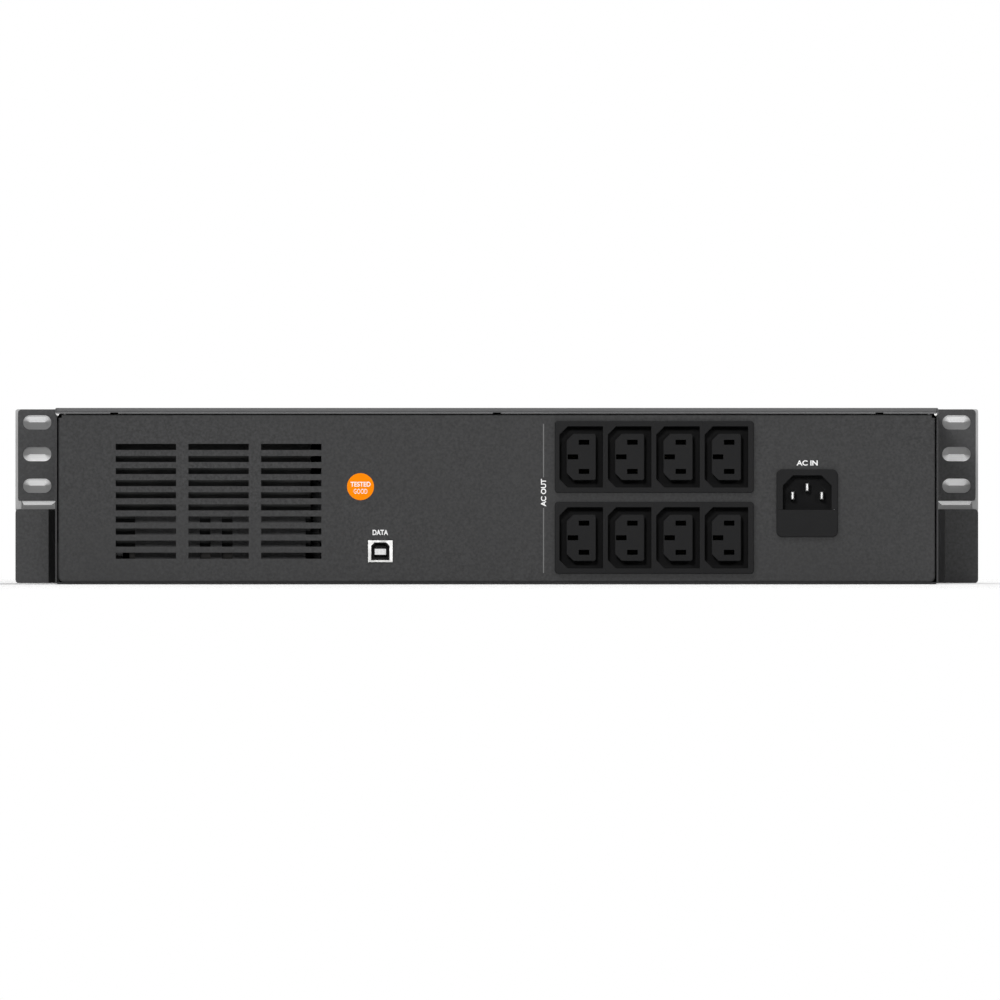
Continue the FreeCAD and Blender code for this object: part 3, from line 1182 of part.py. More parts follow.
# ---------------------------------------------------------------- everything
def build():
    parts.update(
        base_pan=base_pan(), rear_panel=rear_panel(), top_cover=top_cover(), front_wall=front_wall(),
        fan_partition=fan_partition(), bay_divider=bay_divider(), drawer_glides=drawer_glides(),
    )
    parts.update(
        ear_left=ear(), ear_right=mirrored(ear()), ear_screws=ear_screws(), cover_screws=cover_screws(),
    )
    for row in OUTLET_Z:
        parts["outlet_frame_" + row] = outlet_frame(row)
        parts["outlet_sockets_" + row] = outlet_sockets(row)
    parts.update(
        outlet_contacts=outlet_contacts(), inlet_housing=inlet_housing(), inlet_pins=group(inlet_blades()),
        fuse_drawer=fuse_drawer(), fuses=fuses(), usb_shell=usb_shell(), usb_insert=usb_insert(),
        comm_board=comm_board(),
    )
    parts.update(fan_frame=fan_frame(), fan_rotor=fan_rotor())
    parts.update(
        transformer_core=transformer_core(), transformer_bobbin=transformer_bobbin(),
        transformer_winding=transformer_winding(), transformer_cradle=transformer_cradle(),
        transformer_bolts=transformer_bolts(),
    )
    parts.update(
        main_board=main_board(), board_standoffs=board_standoffs(), m3_screws=m3_screws(),
        heatsinks=heatsinks(), power_transistors=power_transistors(), capacitors=capacitors(),
        relays=relays(), terminal_blocks=terminal_blocks(), internal_wiring=internal_wiring(),
        display_ribbon=display_ribbon(),
    )
    parts.update(
        battery_tray=battery_tray(), batteries=batteries(), battery_leads=battery_leads(),
        battery_plug=battery_plug(), battery_socket=battery_socket(), drawer_fascia=drawer_fascia(),
    )
    for side, x in CAPTIVE_X.items():
        parts["captive_screw_" + side] = captive_screw(x)
    parts.update(
        front_bezel=front_bezel(), grille_panel=grille_panel(), clip_block_left=clip_block(),
        clip_block_right=mirrored(clip_block()),
    )
    parts.update(
        control_housing=control_housing(), control_board=control_board(), lcd_panel=lcd_panel(),
        lcd_lens=lcd_lens(), light_pipes=light_pipes(),
    )
    for name, (x, z, r) in BUTTONS.items():
        parts[name] = button(x, z, r)


build()
os.makedirs("parts", exist_ok=True)
for name, shape in parts.items():
    if not shape.isValid() or not shape.Solids:
        raise SystemExit(name + " is not a valid solid")
    shape.exportStep("parts/" + name + ".step")
print(len(parts), "sub-parts written")
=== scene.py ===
"""A two-unit rackmount UPS: materials, printed marks, floor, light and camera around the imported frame."""

import json
import math

import bmesh
import bpy
from mathutils import Matrix, Vector


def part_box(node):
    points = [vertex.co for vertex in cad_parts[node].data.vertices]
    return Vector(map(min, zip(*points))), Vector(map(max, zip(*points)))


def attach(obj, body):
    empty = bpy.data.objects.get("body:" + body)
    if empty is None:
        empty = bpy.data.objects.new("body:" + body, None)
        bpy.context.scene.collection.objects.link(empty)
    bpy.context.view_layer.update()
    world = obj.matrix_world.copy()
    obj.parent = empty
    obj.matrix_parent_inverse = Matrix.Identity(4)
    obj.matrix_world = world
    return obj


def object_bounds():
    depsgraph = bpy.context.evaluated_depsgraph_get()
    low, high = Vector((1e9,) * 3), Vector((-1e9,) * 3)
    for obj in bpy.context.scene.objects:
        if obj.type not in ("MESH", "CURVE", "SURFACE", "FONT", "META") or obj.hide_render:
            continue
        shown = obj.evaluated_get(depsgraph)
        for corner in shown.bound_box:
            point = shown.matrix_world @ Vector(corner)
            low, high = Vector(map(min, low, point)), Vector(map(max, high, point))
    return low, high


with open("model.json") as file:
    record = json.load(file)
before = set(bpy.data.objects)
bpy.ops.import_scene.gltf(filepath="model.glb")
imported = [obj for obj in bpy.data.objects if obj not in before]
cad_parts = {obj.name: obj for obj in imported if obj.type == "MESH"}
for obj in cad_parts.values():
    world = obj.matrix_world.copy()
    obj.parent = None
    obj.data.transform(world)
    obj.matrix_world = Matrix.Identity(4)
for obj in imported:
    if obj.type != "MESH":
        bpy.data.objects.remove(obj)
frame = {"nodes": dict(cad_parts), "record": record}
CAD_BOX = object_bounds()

MM = 0.001
BLACK = (0.0, 0.0, 0.0, 1.0)
WHITE = (1.0, 1.0, 1.0, 1.0)
CHARCOAL = (0.0392, 0.0392, 0.0399, 1.0)
DEEP_BLACK = (0.0135, 0.0135, 0.014, 1.0)

FILM = 0.03 * MM               # thickness of printed ink
STICKER_THICK = 0.1 * MM
STICKER_RADIUS = 6.65 * MM
LETTER_CAP = 2.6 * MM          # height of the panel's legends

FLOOR_RADIUS = 1.3
SENSOR = 36.0                  # the camera's sensor width and lens, in millimetres
LENS = 1650.0
FIELD_WIDTH = 498.0 * MM       # what the view takes in at the object's middle
VIEW_X = 1.6 * MM
VIEW_Z = 41.6 * MM


def grey(level):
    """A neutral colour of that linear brightness."""
    return (level, level, level, 1.0)


def tinted(colour, factor):
    """The colour made brighter or darker by a factor."""
    return (*(min(channel * factor, 1.0) for channel in colour[:3]), 1.0)


EAR_GREY = tinted(CHARCOAL, 1.76)

# ---------------------------------------------------------------- materials


class Paint:
    """A material being made: its node tree, with one short call for each kind of node used here."""

    def __init__(self, name, metallic=0.0, roughness=0.5, sheen=0.5):
        self.material = bpy.data.materials.new(name)
        self.material.use_nodes = True
        self.tree = self.material.node_tree
        self.shader = self.tree.nodes["Principled BSDF"]
        self.shader.inputs["Metallic"].default_value = metallic
        self.shader.inputs["Roughness"].default_value = roughness
        self.shader.inputs["Specular IOR Level"].default_value = sheen
        self.place = self.tree.nodes.new("ShaderNodeTexCoord").outputs["Object"]

    def node(self, kind, inputs, **settings):
        """A new node with its settings, and its inputs set to values or linked to sockets."""
        made = self.tree.nodes.new("ShaderNode" + kind)
        for key, value in settings.items():
            setattr(made, key, value)
        for key, value in inputs.items():
            if isinstance(value, bpy.types.NodeSocket):
                self.tree.links.new(value, made.inputs[key])
            else:
                made.inputs[key].default_value = value
        return made

    def feed(self, name, source):
        """Links a socket to one of the shader's inputs."""
        self.tree.links.new(source, self.shader.inputs[name])

    def stretched(self, scale):
        """Object coordinates, scaled differently along X, Y and Z."""
        return self.node("Mapping", {"Vector": self.place, "Scale": scale}).outputs[0]

    def noise(self, per_metre, detail=2.0, place=None):
        """Soft noise from 0 to 1, with that many features to the metre."""
        inputs = {"Vector": place or self.place, "Scale": per_metre, "Detail": detail}
        return self.node("TexNoise", inputs).outputs[0]

    def cells(self, per_metre, place=None):
        """A random brightness for each of many small cells."""
        made = self.node("TexVoronoi", {"Vector": place or self.place, "Scale": per_metre})
        return self.node("SeparateColor", {"Color": made.outputs["Color"]}).outputs[0]

    def waves(self, per_metre, axis, sharp=0.0):
        """Straight bands across an axis, as from a lamination or a winding."""
        inputs = {"Vector": self.place, "Scale": per_metre, "Distortion": sharp}
        return self.node("TexWave", inputs, bands_direction=axis).outputs[1]

    def axis(self, name):
        """One of the object coordinates."""
        return self.node("SeparateXYZ", {"Vector": self.place}).outputs[name]

    def maths(self, operation, first, second=0.0, third=0.0):
        """The result of one sum."""
        return self.node("Math", {0: first, 1: second, 2: third}, operation=operation).outputs[0]

    def between(self, value, low, high, bottom=0.0, top=1.0):
        """value moved from the range low..high to bottom..top, and kept within it."""
        inputs = {"Value": value, "From Min": low, "From Max": high, "To Min": bottom, "To Max": top}
        return self.node("MapRange", inputs).outputs[0]

    def blend(self, share, first, second):
        """A colour between first and second."""
        return self.node("Mix", {0: share, 6: first, 7: second}, data_type="RGBA").outputs[2]

    def rounding(self, radius):
        """The surface normal, as if the edges were rounded off by that radius."""
        return self.node("Bevel", {"Radius": radius}, samples=6).outputs[0]

    def edges(self, rounded):
        """1 along the edges, and 0 on the flat, from a rounded normal."""
        flat = self.node("NewGeometry", {}).outputs["Normal"]
        along = self.node("VectorMath", {0: rounded, 1: flat}, operation="DOT_PRODUCT")
        return self.between(along.outputs["Value"], 0.995, 0.8)

    def bump(self, height, depth, normal=None):
        """A normal with that height map pressed into it, depth metres deep."""
        inputs = {"Height": height, "Distance": depth, "Strength": 1.0}
        if normal is not None:
            inputs["Normal"] = normal
        return self.node("Bump", inputs).outputs[0]


def hem_highlight(paint, colour):
    """Painted highlight: the cover's coat made paler on the roll of its rear hem and along the hem's lower
    edge, where light from above catches them.
    """
    low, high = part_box("top_cover")
    drop = paint.maths("SUBTRACT", high.z, paint.axis("Z"))
    near = paint.between(paint.axis("Y"), low.y + 3.5 * MM, low.y + 1.5 * MM)
    hem = paint.maths("MULTIPLY", near, paint.between(drop, 3.2 * MM, 3.1 * MM))
    # painted highlight: the hem's roll made paler, and its lower lip paler still
    roll_highlight = paint.maths("MULTIPLY", paint.between(drop, 1.7 * MM, 1.85 * MM, 1.0, 0.4), hem)
    lip_highlight = paint.maths("MULTIPLY", paint.between(drop, 2.1 * MM, 2.25 * MM), hem)
    return paint.blend(lip_highlight, paint.blend(roll_highlight, colour, tinted(CHARCOAL, 2.8)), tinted(CHARCOAL, 5.0))


def chamfer_shade_and_highlight(side, factor):
    """Painted light on a clip block's chamfer, the faces turned towards side: a factor below 1 paints shade
    on it, a factor above 1 a highlight.
    """
    def tone(paint, colour):
        normal = paint.node("SeparateXYZ", {"Vector": paint.node("NewGeometry", {}).outputs["Normal"]})
        turned = paint.maths("MULTIPLY", normal.outputs["X"], side)
        share = paint.maths("MULTIPLY", paint.between(turned, 0.6, 0.75), paint.between(turned, 0.95, 0.87))
        return paint.blend(share, colour, tinted(EAR_GREY, factor))
    return tone


def powder_coat(name, colour, speckle=0.4, depth=0.02 * MM, painted_light=None):
    """Textured powder coat: fine grain, faint clouds in the colour, paler edges that are partly wear and
    partly a painted highlight, and any painted light passed in.
    """
    paint = Paint(name, roughness=0.7, sheen=0.3)
    grain = paint.noise(800.0, 5.0)
    clouds = paint.noise(14.0, 4.0)
    spread = paint.between(grain, 0.3, 0.7)
    base = paint.blend(spread, tinted(colour, 1.0 - speckle), tinted(colour, 1.0 + speckle))
    base = paint.blend(paint.between(clouds, 0.35, 0.65, 0.0, 0.35), base, tinted(colour, 0.9))
    # painted light from the caller: a painted highlight or painted shade laid over the coat
    if painted_light:
        base = painted_light(paint, base)
    rounded = paint.rounding(0.35 * MM)
    # paler edges: partly wear, partly a painted highlight where light catches the edge
    worn_and_highlit = paint.maths("MULTIPLY", paint.edges(rounded), paint.between(paint.noise(240.0), 0.35, 0.7))
    base = paint.blend(paint.maths("MULTIPLY", worn_and_highlit, 0.45), base, tinted(colour, 2.6))
    paint.feed("Base Color", base)
    paint.feed("Roughness", paint.between(grain, 0.3, 0.7, 0.62, 0.8))
    paint.feed("Normal", paint.bump(grain, depth, rounded))
    return paint.material


def moulded(name, colour, gloss=0.45, grain=2600.0, depth=0.008 * MM, radius=0.25 * MM, sheen=0.35):
    """Moulded plastic: a fine eroded texture, slow changes in sheen, softened edges, and a painted highlight
    along the edges.
    """
    paint = Paint(name, roughness=gloss, sheen=sheen)
    fine = paint.noise(grain, 2.0)
    slow = paint.noise(45.0, 3.0)
    rounded = paint.rounding(radius)
    base = paint.blend(paint.between(slow, 0.3, 0.7), tinted(colour, 0.9), tinted(colour, 1.08))
    # painted highlight: edges made paler, as where light catches them
    base = paint.blend(paint.maths("MULTIPLY", paint.edges(rounded), 0.3), base, tinted(colour, 1.9))
    paint.feed("Base Color", base)
    paint.feed("Roughness", paint.between(slow, 0.3, 0.7, gloss - 0.06, gloss + 0.08))
    paint.feed("Normal", paint.bump(fine, depth, rounded))
    return paint.material


def plated(name, colour, roughness=0.25, along=(900.0, 60.0, 900.0)):
    """Plated or machined metal: a faint drawn grain, light handling marks and rounded edges."""
    paint = Paint(name, metallic=1.0, roughness=roughness)
    grain = paint.noise(1.0, 2.0, paint.stretched(along))
    marks = paint.noise(320.0, 4.0)
    rounded = paint.rounding(0.12 * MM)
    base = paint.blend(paint.between(marks, 0.35, 0.7), tinted(colour, 0.86), colour)
    paint.feed("Base Color", base)
    paint.feed("Roughness", paint.between(marks, 0.3, 0.7, roughness - 0.06, roughness + 0.12))
    paint.feed("Normal", paint.bump(grain, 0.003 * MM, rounded))
    return paint.material


def zinc_sheet(name, shade_y=None):
    """Bright zinc-plated sheet: crystal patches that catch the light, and painted shade, black and not
    metallic, on faces behind a given Y.
    """
    colour = (0.56, 0.57, 0.58, 1.0)
    paint = Paint(name, metallic=1.0, roughness=0.4)
    patches = paint.cells(130.0)
    slow = paint.noise(20.0, 3.0)
    base = paint.blend(patches, tinted(colour, 0.8), tinted(colour, 1.06))
    # painted shade: black and not metallic behind the given Y, where the tray's back wall lies in shade
    if shade_y is not None:
        painted_shade = paint.maths("LESS_THAN", paint.axis("Y"), shade_y)
        base = paint.blend(painted_shade, base, grey(0.01))
        paint.feed("Metallic", paint.between(painted_shade, 0.0, 1.0, 1.0, 0.0))
    paint.feed("Base Color", base)
    smudge = paint.between(slow, 0.3, 0.7, 0.0, 0.1)
    rough = paint.maths("ADD", paint.between(patches, 0.0, 1.0, 0.3, 0.44), smudge)
    paint.feed("Roughness", rough)
    paint.feed("Normal", paint.bump(paint.noise(700.0), 0.003 * MM, paint.rounding(0.2 * MM)))
    return paint.material


def silver_paint(name):
    """Satin silver paint with fine metal flake, over a pale moulding that is left bare at the back.

    At the back, the bare moulding carries painted shade: faces turned up are paler than the rest. The bare
    back also has a painted glow, an emission though it is no lamp.
    """
    colour = (0.5, 0.505, 0.51, 1.0)
    paint = Paint(name, metallic=0.35, roughness=0.42)
    facing = paint.node("SeparateXYZ", {"Vector": paint.node("NewGeometry", {}).outputs["Normal"]})
    back = paint.between(facing.outputs["Y"], -0.2, -0.45)
    # painted shade on the bare back: faces turned up pale, flat and downturned faces darker
    tone = paint.between(facing.outputs["Z"], 0.05, 0.42)
    flake = paint.cells(3200.0)
    slow = paint.noise(30.0, 3.0)
    rounded = paint.rounding(0.3 * MM)
    base = paint.blend(flake, tinted(colour, 0.88), tinted(colour, 1.12))
    base = paint.blend(paint.between(slow, 0.35, 0.7, 0.0, 0.4), base, tinted(colour, 0.93))
    bare = paint.blend(tone, grey(0.28), grey(0.95))
    paint.feed("Base Color", paint.blend(back, base, bare))
    # painted glow: the bare back emits its own colour, though it is no lamp
    paint.feed("Emission Color", paint.blend(back, BLACK, bare))
    paint.shader.inputs["Emission Strength"].default_value = 0.32
    paint.feed("Metallic", paint.between(back, 0.0, 1.0, 0.35, 0.0))
    paint.feed("Roughness", paint.between(slow, 0.3, 0.7, 0.36, 0.48))
    paint.feed("Normal", paint.bump(flake, 0.002 * MM, rounded))
    paint.shader.inputs["Coat Weight"].default_value = 0.15
    paint.shader.inputs["Coat Roughness"].default_value = 0.3
    return paint.material


def circuit_board(name):
    """Solder mask over copper: a grid of fine tracks that run under it, with drilled pads."""
    paint = Paint(name, roughness=0.35)
    tracks = paint.maths("MAXIMUM", paint.waves(160.0, "X", 2.0), paint.waves(130.0, "Y", 3.0))
    raised = paint.between(tracks, 0.82, 0.9)
    pads = paint.between(paint.cells(260.0), 0.93, 0.95)
    base = paint.blend(raised, (0.012, 0.09, 0.04, 1.0), (0.025, 0.16, 0.07, 1.0))
    paint.feed("Base Color", paint.blend(pads, base, (0.5, 0.5, 0.46, 1.0)))
    paint.feed("Metallic", pads)
    paint.feed("Normal", paint.bump(raised, 0.03 * MM))
    return paint.material


def banded(name, axis, per_metre, dark, light, roughness, depth, metallic=0.0):
    """Thin layers side by side: stacked plates, wound tape, or the cores of a flat cable."""
    paint = Paint(name, metallic=metallic, roughness=roughness)
    bands = paint.waves(per_metre, axis)
    mottle = paint.noise(60.0, 4.0)
    base = paint.blend(bands, dark, light)
    paint.feed("Base Color", paint.blend(paint.between(mottle, 0.3, 0.7, 0.0, 0.3), base, tinted(dark, 0.7)))
    paint.feed("Roughness", paint.between(mottle, 0.3, 0.7, roughness - 0.08, roughness + 0.1))
    paint.feed("Normal", paint.bump(bands, depth))
    return paint.material


def clear(name, colour, roughness, weight):
    """Clear plastic or glass with faint moulding ripples."""
    paint = Paint(name, roughness=roughness)
    paint.shader.inputs["Transmission Weight"].default_value = weight
    ripple = paint.noise(90.0, 2.0)
    paint.feed("Base Color", paint.blend(ripple, tinted(colour, 0.92), colour))
    paint.feed("Roughness", paint.between(ripple, 0.3, 0.7, roughness, roughness + 0.05))
    paint.feed("Normal", paint.bump(ripple, 0.01 * MM, paint.rounding(0.3 * MM)))
    return paint.material


def two_tone(name, node, inner, outer, half_width, half_height, centre, roughness):
    """One moulding seen as two colours: inner within a box about centre in X and Z, and outer around it."""
    low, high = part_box(node)
    middle = centre or (low + high) / 2
    paint = Paint(name, roughness=roughness, sheen=0.2)
    across = paint.maths("ABSOLUTE", paint.maths("SUBTRACT", paint.axis("X"), middle.x))
    up = paint.maths("ABSOLUTE", paint.maths("SUBTRACT", paint.axis("Z"), middle.z))
    within = paint.maths(
        "MULTIPLY",
        paint.maths("LESS_THAN", across, half_width),
        paint.maths("LESS_THAN", up, half_height),
    )
    fine = paint.noise(2500.0)
    base = paint.blend(within, outer, inner)
    paint.feed("Base Color", paint.blend(paint.between(fine, 0.3, 0.7, 0.0, 0.2), base, BLACK))
    paint.feed("Normal", paint.bump(fine, 0.006 * MM, paint.rounding(0.15 * MM)))
    return paint.material


def ink(name, colour, sheen=0.12):
    """Screen-printed ink: a thin matt film with slightly uneven cover."""
    paint = Paint(name, roughness=0.7, sheen=sheen)
    cover = paint.noise(1800.0, 3.0)
    thin = paint.between(cover, 0.3, 0.75, 0.0, 0.25)
    paint.feed("Base Color", paint.blend(thin, colour, tinted(colour, 0.8)))
    paint.feed("Normal", paint.bump(cover, 0.004 * MM))
    return paint.material


def glowing(name, colour, strength):
    """A lit display face: an even glow with a faint cell pattern."""
    paint = Paint(name, roughness=0.4)
    cells = paint.maths("MAXIMUM", paint.waves(900.0, "X"), paint.waves(900.0, "Z"))
    base = paint.blend(cells, tinted(colour, 0.85), colour)
    paint.feed("Base Color", base)
    paint.feed("Emission Color", base)
    paint.shader.inputs["Emission Strength"].default_value = strength
    return paint.material


def make_materials():
    """One finish for each of the record's material slots."""
    usb_low, usb_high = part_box("usb_insert")
    tongue = Vector(((usb_low.x + usb_high.x) / 2, 0.0, (usb_low.z + usb_high.z) / 2 - 0.25 * MM))
    return {
        "chassis_paint": powder_coat("chassis_paint", CHARCOAL),
        "ear_paint": powder_coat("ear_paint", EAR_GREY, 0.25),
        "zinc_sheet": zinc_sheet("zinc_sheet"),
        "black_screw": plated("black_screw", grey(0.06), 0.4),
        "zinc_screw": plated("zinc_screw", grey(0.6), 0.3),
        "nickel": plated("nickel", (0.42, 0.418, 0.412, 1.0), 0.42),
        # painted shade: the contacts' brass is darkened nearly to black, as they are seen in the shade of
        # the outlet slots
        "contact_brass": plated("contact_brass", (0.05, 0.04, 0.02, 1.0), 0.6),
        "socket_plastic": moulded("socket_plastic", DEEP_BLACK, 0.75, sheen=0.15),
        "inlet_plastic": moulded("inlet_plastic", DEEP_BLACK, 0.75, sheen=0.15),
        "fuse_plastic": moulded("fuse_plastic", DEEP_BLACK, 0.75, sheen=0.15),
        # painted shade: the insert is near-black round its pale tongue, standing in for the shade in the
        # socket
        "insulator": two_tone(
            "insulator", "usb_insert", grey(0.8), grey(0.002), 2.75 * MM, 1.45 * MM, tongue, 0.55
        ),
        "silver_plastic": silver_paint("silver_plastic"),
        "dark_plastic": moulded("dark_plastic", (0.03, 0.03, 0.032, 1.0), 0.5, 1800.0, 0.02 * MM, 0.4 * MM),
        "display_glass": clear("display_glass", (0.75, 0.8, 0.82, 1.0), 0.04, 0.95),
        "display_face": glowing("display_face", (0.18, 0.42, 0.5, 1.0), 0.25),
        "light_pipe": clear("light_pipe", (0.3, 0.85, 0.4, 1.0), 0.2, 0.6),
        "button_grey": moulded("button_grey", (0.2, 0.205, 0.21, 1.0), 0.45, 2200.0, 0.01 * MM, 0.5 * MM),
        "button_green": moulded("button_green", (0.03, 0.24, 0.09, 1.0), 0.4, 2200.0, 0.01 * MM, 0.5 * MM),
        "board_green": circuit_board("board_green"),
        "black_component": moulded("black_component", grey(0.018), 0.5),
        "capacitor_sleeve": moulded("capacitor_sleeve", (0.012, 0.02, 0.07, 1.0), 0.25),
        "relay_case": moulded("relay_case", (0.02, 0.05, 0.2, 1.0), 0.4),
        "terminal_green": moulded("terminal_green", (0.02, 0.2, 0.06, 1.0), 0.45),
        "heatsink": plated("heatsink", (0.55, 0.56, 0.57, 1.0), 0.42),
        "lamination": banded(
            "lamination", "Y", 300.0, grey(0.004), grey(0.012), 0.6, 0.05 * MM, metallic=0.2
        ),
        "winding_tape": banded(
            "winding_tape", "Z", 22.0, (0.42, 0.28, 0.03, 1.0), (0.6, 0.44, 0.06, 1.0), 0.3, 0.05 * MM
        ),
        "bobbin": moulded("bobbin", (0.02, 0.018, 0.016, 1.0), 0.6),
        "fan_plastic": moulded("fan_plastic", grey(0.015), 0.45),
        "glide_nylon": moulded("glide_nylon", (0.72, 0.71, 0.66, 1.0), 0.4),
        "battery_case": moulded("battery_case", (0.035, 0.038, 0.042, 1.0), 0.5, 1500.0, 0.02 * MM),
        "lead_rubber": moulded("lead_rubber", (0.22, 0.01, 0.01, 1.0), 0.5),
        "wire_rubber": moulded("wire_rubber", grey(0.018), 0.5),
        "plug_plastic": moulded("plug_plastic", (0.34, 0.02, 0.016, 1.0), 0.45),
        "ribbon": banded("ribbon", "X", 120.0, grey(0.32), grey(0.5), 0.5, 0.08 * MM),
        "fuse_glass": two_tone(
            "fuse_glass", "fuses", (0.6, 0.66, 0.66, 1.0), grey(0.75), 5.5 * MM, 10.0 * MM, None, 0.2
        ),
    }


def paint_nodes(materials):
    """Gives every CAD node the finish of its slot, or one of its own where it differs in detail; several of
    these own finishes carry painted highlights and painted shade.
    """
    own = {
        "inlet_pins": plated("nickel_polished", (0.3, 0.3, 0.297, 1.0), 0.3),
        # the cover's finish has a painted highlight along its rear hem
        "top_cover": powder_coat("chassis_paint_cover", CHARCOAL, painted_light=hem_highlight),
        "battery_socket": materials["black_component"],
        # the tray's back wall gets painted shade
        "battery_tray": zinc_sheet("zinc_sheet_tray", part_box("battery_tray")[0].y + 2.0 * MM),
        # painted shade on the left block's chamfer, painted highlight on the right block's chamfer
        "clip_block_left": powder_coat("clip_paint_left", EAR_GREY, 0.25, painted_light=chamfer_shade_and_highlight(1.0, 0.2)),
        "clip_block_right": powder_coat("clip_paint_right", EAR_GREY, 0.25, painted_light=chamfer_shade_and_highlight(-1.0, 2.2)),
    }
    for row in frame["record"]["subparts"]:
        node = frame["nodes"][row["node"]]
        for place in node.material_slots:
            place.material = own.get(row["node"], materials[row["material_slot"]])


# ---------------------------------------------------------------- pieces


def add_piece(name, mesh, material, body):
    """A new piece that rides on a body and takes its finish from a slot."""
    piece = bpy.data.objects.new(name, mesh)
    bpy.context.scene.collection.objects.link(piece)
    mesh.materials.clear()
    mesh.materials.append(material)
    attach(piece, body)
    return piece


def plate_mesh(name, outline, back, front):
    """A flat plate facing -Y: its outline in X and Z, from Y back to Y front."""
    mesh = bpy.data.meshes.new(name)
    shape = bmesh.new()
    corners = [shape.verts.new((x, back, z)) for x, z in outline]
    face = shape.faces.new(corners)
    grown = bmesh.ops.extrude_face_region(shape, geom=[face])
    moved = [item for item in grown["geom"] if isinstance(item, bmesh.types.BMVert)]
    bmesh.ops.translate(shape, verts=moved, vec=(0.0, front - back, 0.0))
    bmesh.ops.recalc_face_normals(shape, faces=shape.faces)
    shape.to_mesh(mesh)
    shape.free()
    return mesh


def rectangle(x0, x1, z0, z1):
    """The four corners of a rectangle in X and Z."""
    return [(x0, z0), (x1, z0), (x1, z1), (x0, z1)]


def circle(x, z, radius, count=64):
    """Points round a circle in X and Z."""
    turns = [2 * math.pi * step / count for step in range(count)]
    return [(x + radius * math.cos(turn), z + radius * math.sin(turn)) for turn in turns]


def text_mesh(name, words, cap_height, width, centre, turn, face_y, weight=0.025):
    """Bold block letters on a face that looks along -Y: width overall, turned about Y, and a film thick."""
    curve = bpy.data.curves.new(name + "_curve", "FONT")
    curve.body = words
    curve.size = 1.0
    curve.offset = weight
    curve.align_x = "CENTER"
    curve.align_y = "CENTER"
    curve.extrude = 0.01
    maker = bpy.data.objects.new(name + "_maker", curve)
    bpy.context.scene.collection.objects.link(maker)
    bpy.context.view_layer.update()
    mesh = bpy.data.meshes.new_from_object(maker.evaluated_get(bpy.context.evaluated_depsgraph_get()))
    bpy.data.objects.remove(maker)
    xs = [vertex.co.x for vertex in mesh.vertices]
    ys = [vertex.co.y for vertex in mesh.vertices]
    mesh.transform(Matrix.Translation((-(min(xs) + max(xs)) / 2, -(min(ys) + max(ys)) / 2, 0.0)))
    size = (width / (max(xs) - min(xs)), cap_height / (max(ys) - min(ys)), FILM / 2 / curve.extrude, 1.0)
    mesh.transform(Matrix.Diagonal(size))
    upright = Matrix.Rotation(math.radians(90.0), 4, "X")
    mesh.transform(Matrix.Rotation(turn, 4, "Y") @ upright)
    mesh.transform(Matrix.Translation((centre[0], face_y - FILM / 2, centre[1])))
    mesh.name = name
    return mesh


def printed_marks(materials):
    """The white legends and the round test sticker on the rear panel."""
    panel_low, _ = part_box("rear_panel")
    face = panel_low.y
    upper_low, upper_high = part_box("outlet_frame_upper")
    lower_low, lower_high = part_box("outlet_frame_lower")
    inlet_low, inlet_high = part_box("inlet_housing")
    data_low, data_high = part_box("usb_shell")
    white = materials["print_white"]

    line_x = upper_low.x - 5.6 * MM
    middle_z = (upper_low.z + lower_high.z) / 2 + 2.3 * MM
    line_half = 0.27 * MM
    gap_half = 7.6 * MM
    for name, z0, z1 in (
        ("outlet_rule_upper", middle_z + gap_half, upper_high.z - 1.4 * MM),
        ("outlet_rule_lower", lower_low.z + 0.3 * MM, middle_z - gap_half),
    ):
        mesh = plate_mesh(name, rectangle(line_x - line_half, line_x + line_half, z0, z1), face, face - FILM)
        add_piece(name, mesh, materials["print_grey"], "chassis")

    above_inlet = ((inlet_low.x + inlet_high.x) / 2, inlet_high.z + 3.2 * MM)
    above_data = ((data_low.x + data_high.x) / 2, data_high.z + 3.9 * MM)
    legends = (
        ("legend_ac_out", "AC OUT", 13.6 * MM, (line_x, middle_z), -math.pi / 2),
        ("legend_ac_in", "AC IN", 10.4 * MM, above_inlet, 0.0),
        ("legend_data", "DATA", 7.6 * MM, above_data, 0.0),
    )
    for name, words, width, centre, turn in legends:
        mesh = text_mesh(name, words, LETTER_CAP, width, centre, turn, face)
        add_piece(name, mesh, white, "chassis")

    sticker = (data_low.x - 3.7 * MM, 48.2 * MM)
    mesh = plate_mesh("test_sticker", circle(*sticker, STICKER_RADIUS), face, face - STICKER_THICK)
    add_piece("test_sticker", mesh, materials["sticker_orange"], "chassis")
    sticker_face = face - STICKER_THICK
    for name, words, width, rise, weight in (
        ("sticker_line_1", "TESTED", 9.9 * MM, 1.2 * MM, 0.018),
        ("sticker_line_2", "GOOD", 6.7 * MM, -2.3 * MM, 0.0),
    ):
        centre = (sticker[0], sticker[1] + rise)
        mesh = text_mesh(name, words, 2.4 * MM, width, centre, 0.0, sticker_face, weight)
        add_piece(name, mesh, white, "chassis")


def corner_lugs(materials):
    """The bright bare corners of the sheet behind the rear panel's top reliefs."""
    low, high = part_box("rear_panel")
    radius = 0.75 * MM
    for side, x in (("left", low.x - 0.3 * MM), ("right", high.x + 0.3 * MM)):
        name = "corner_lug_" + side
        outline = circle(x, high.z + 0.2 * MM, radius, 24)
        mesh = plate_mesh(name, outline, low.y + 1.6 * MM, low.y + 0.3 * MM)
        add_piece(name, mesh, materials["nickel"], "chassis")


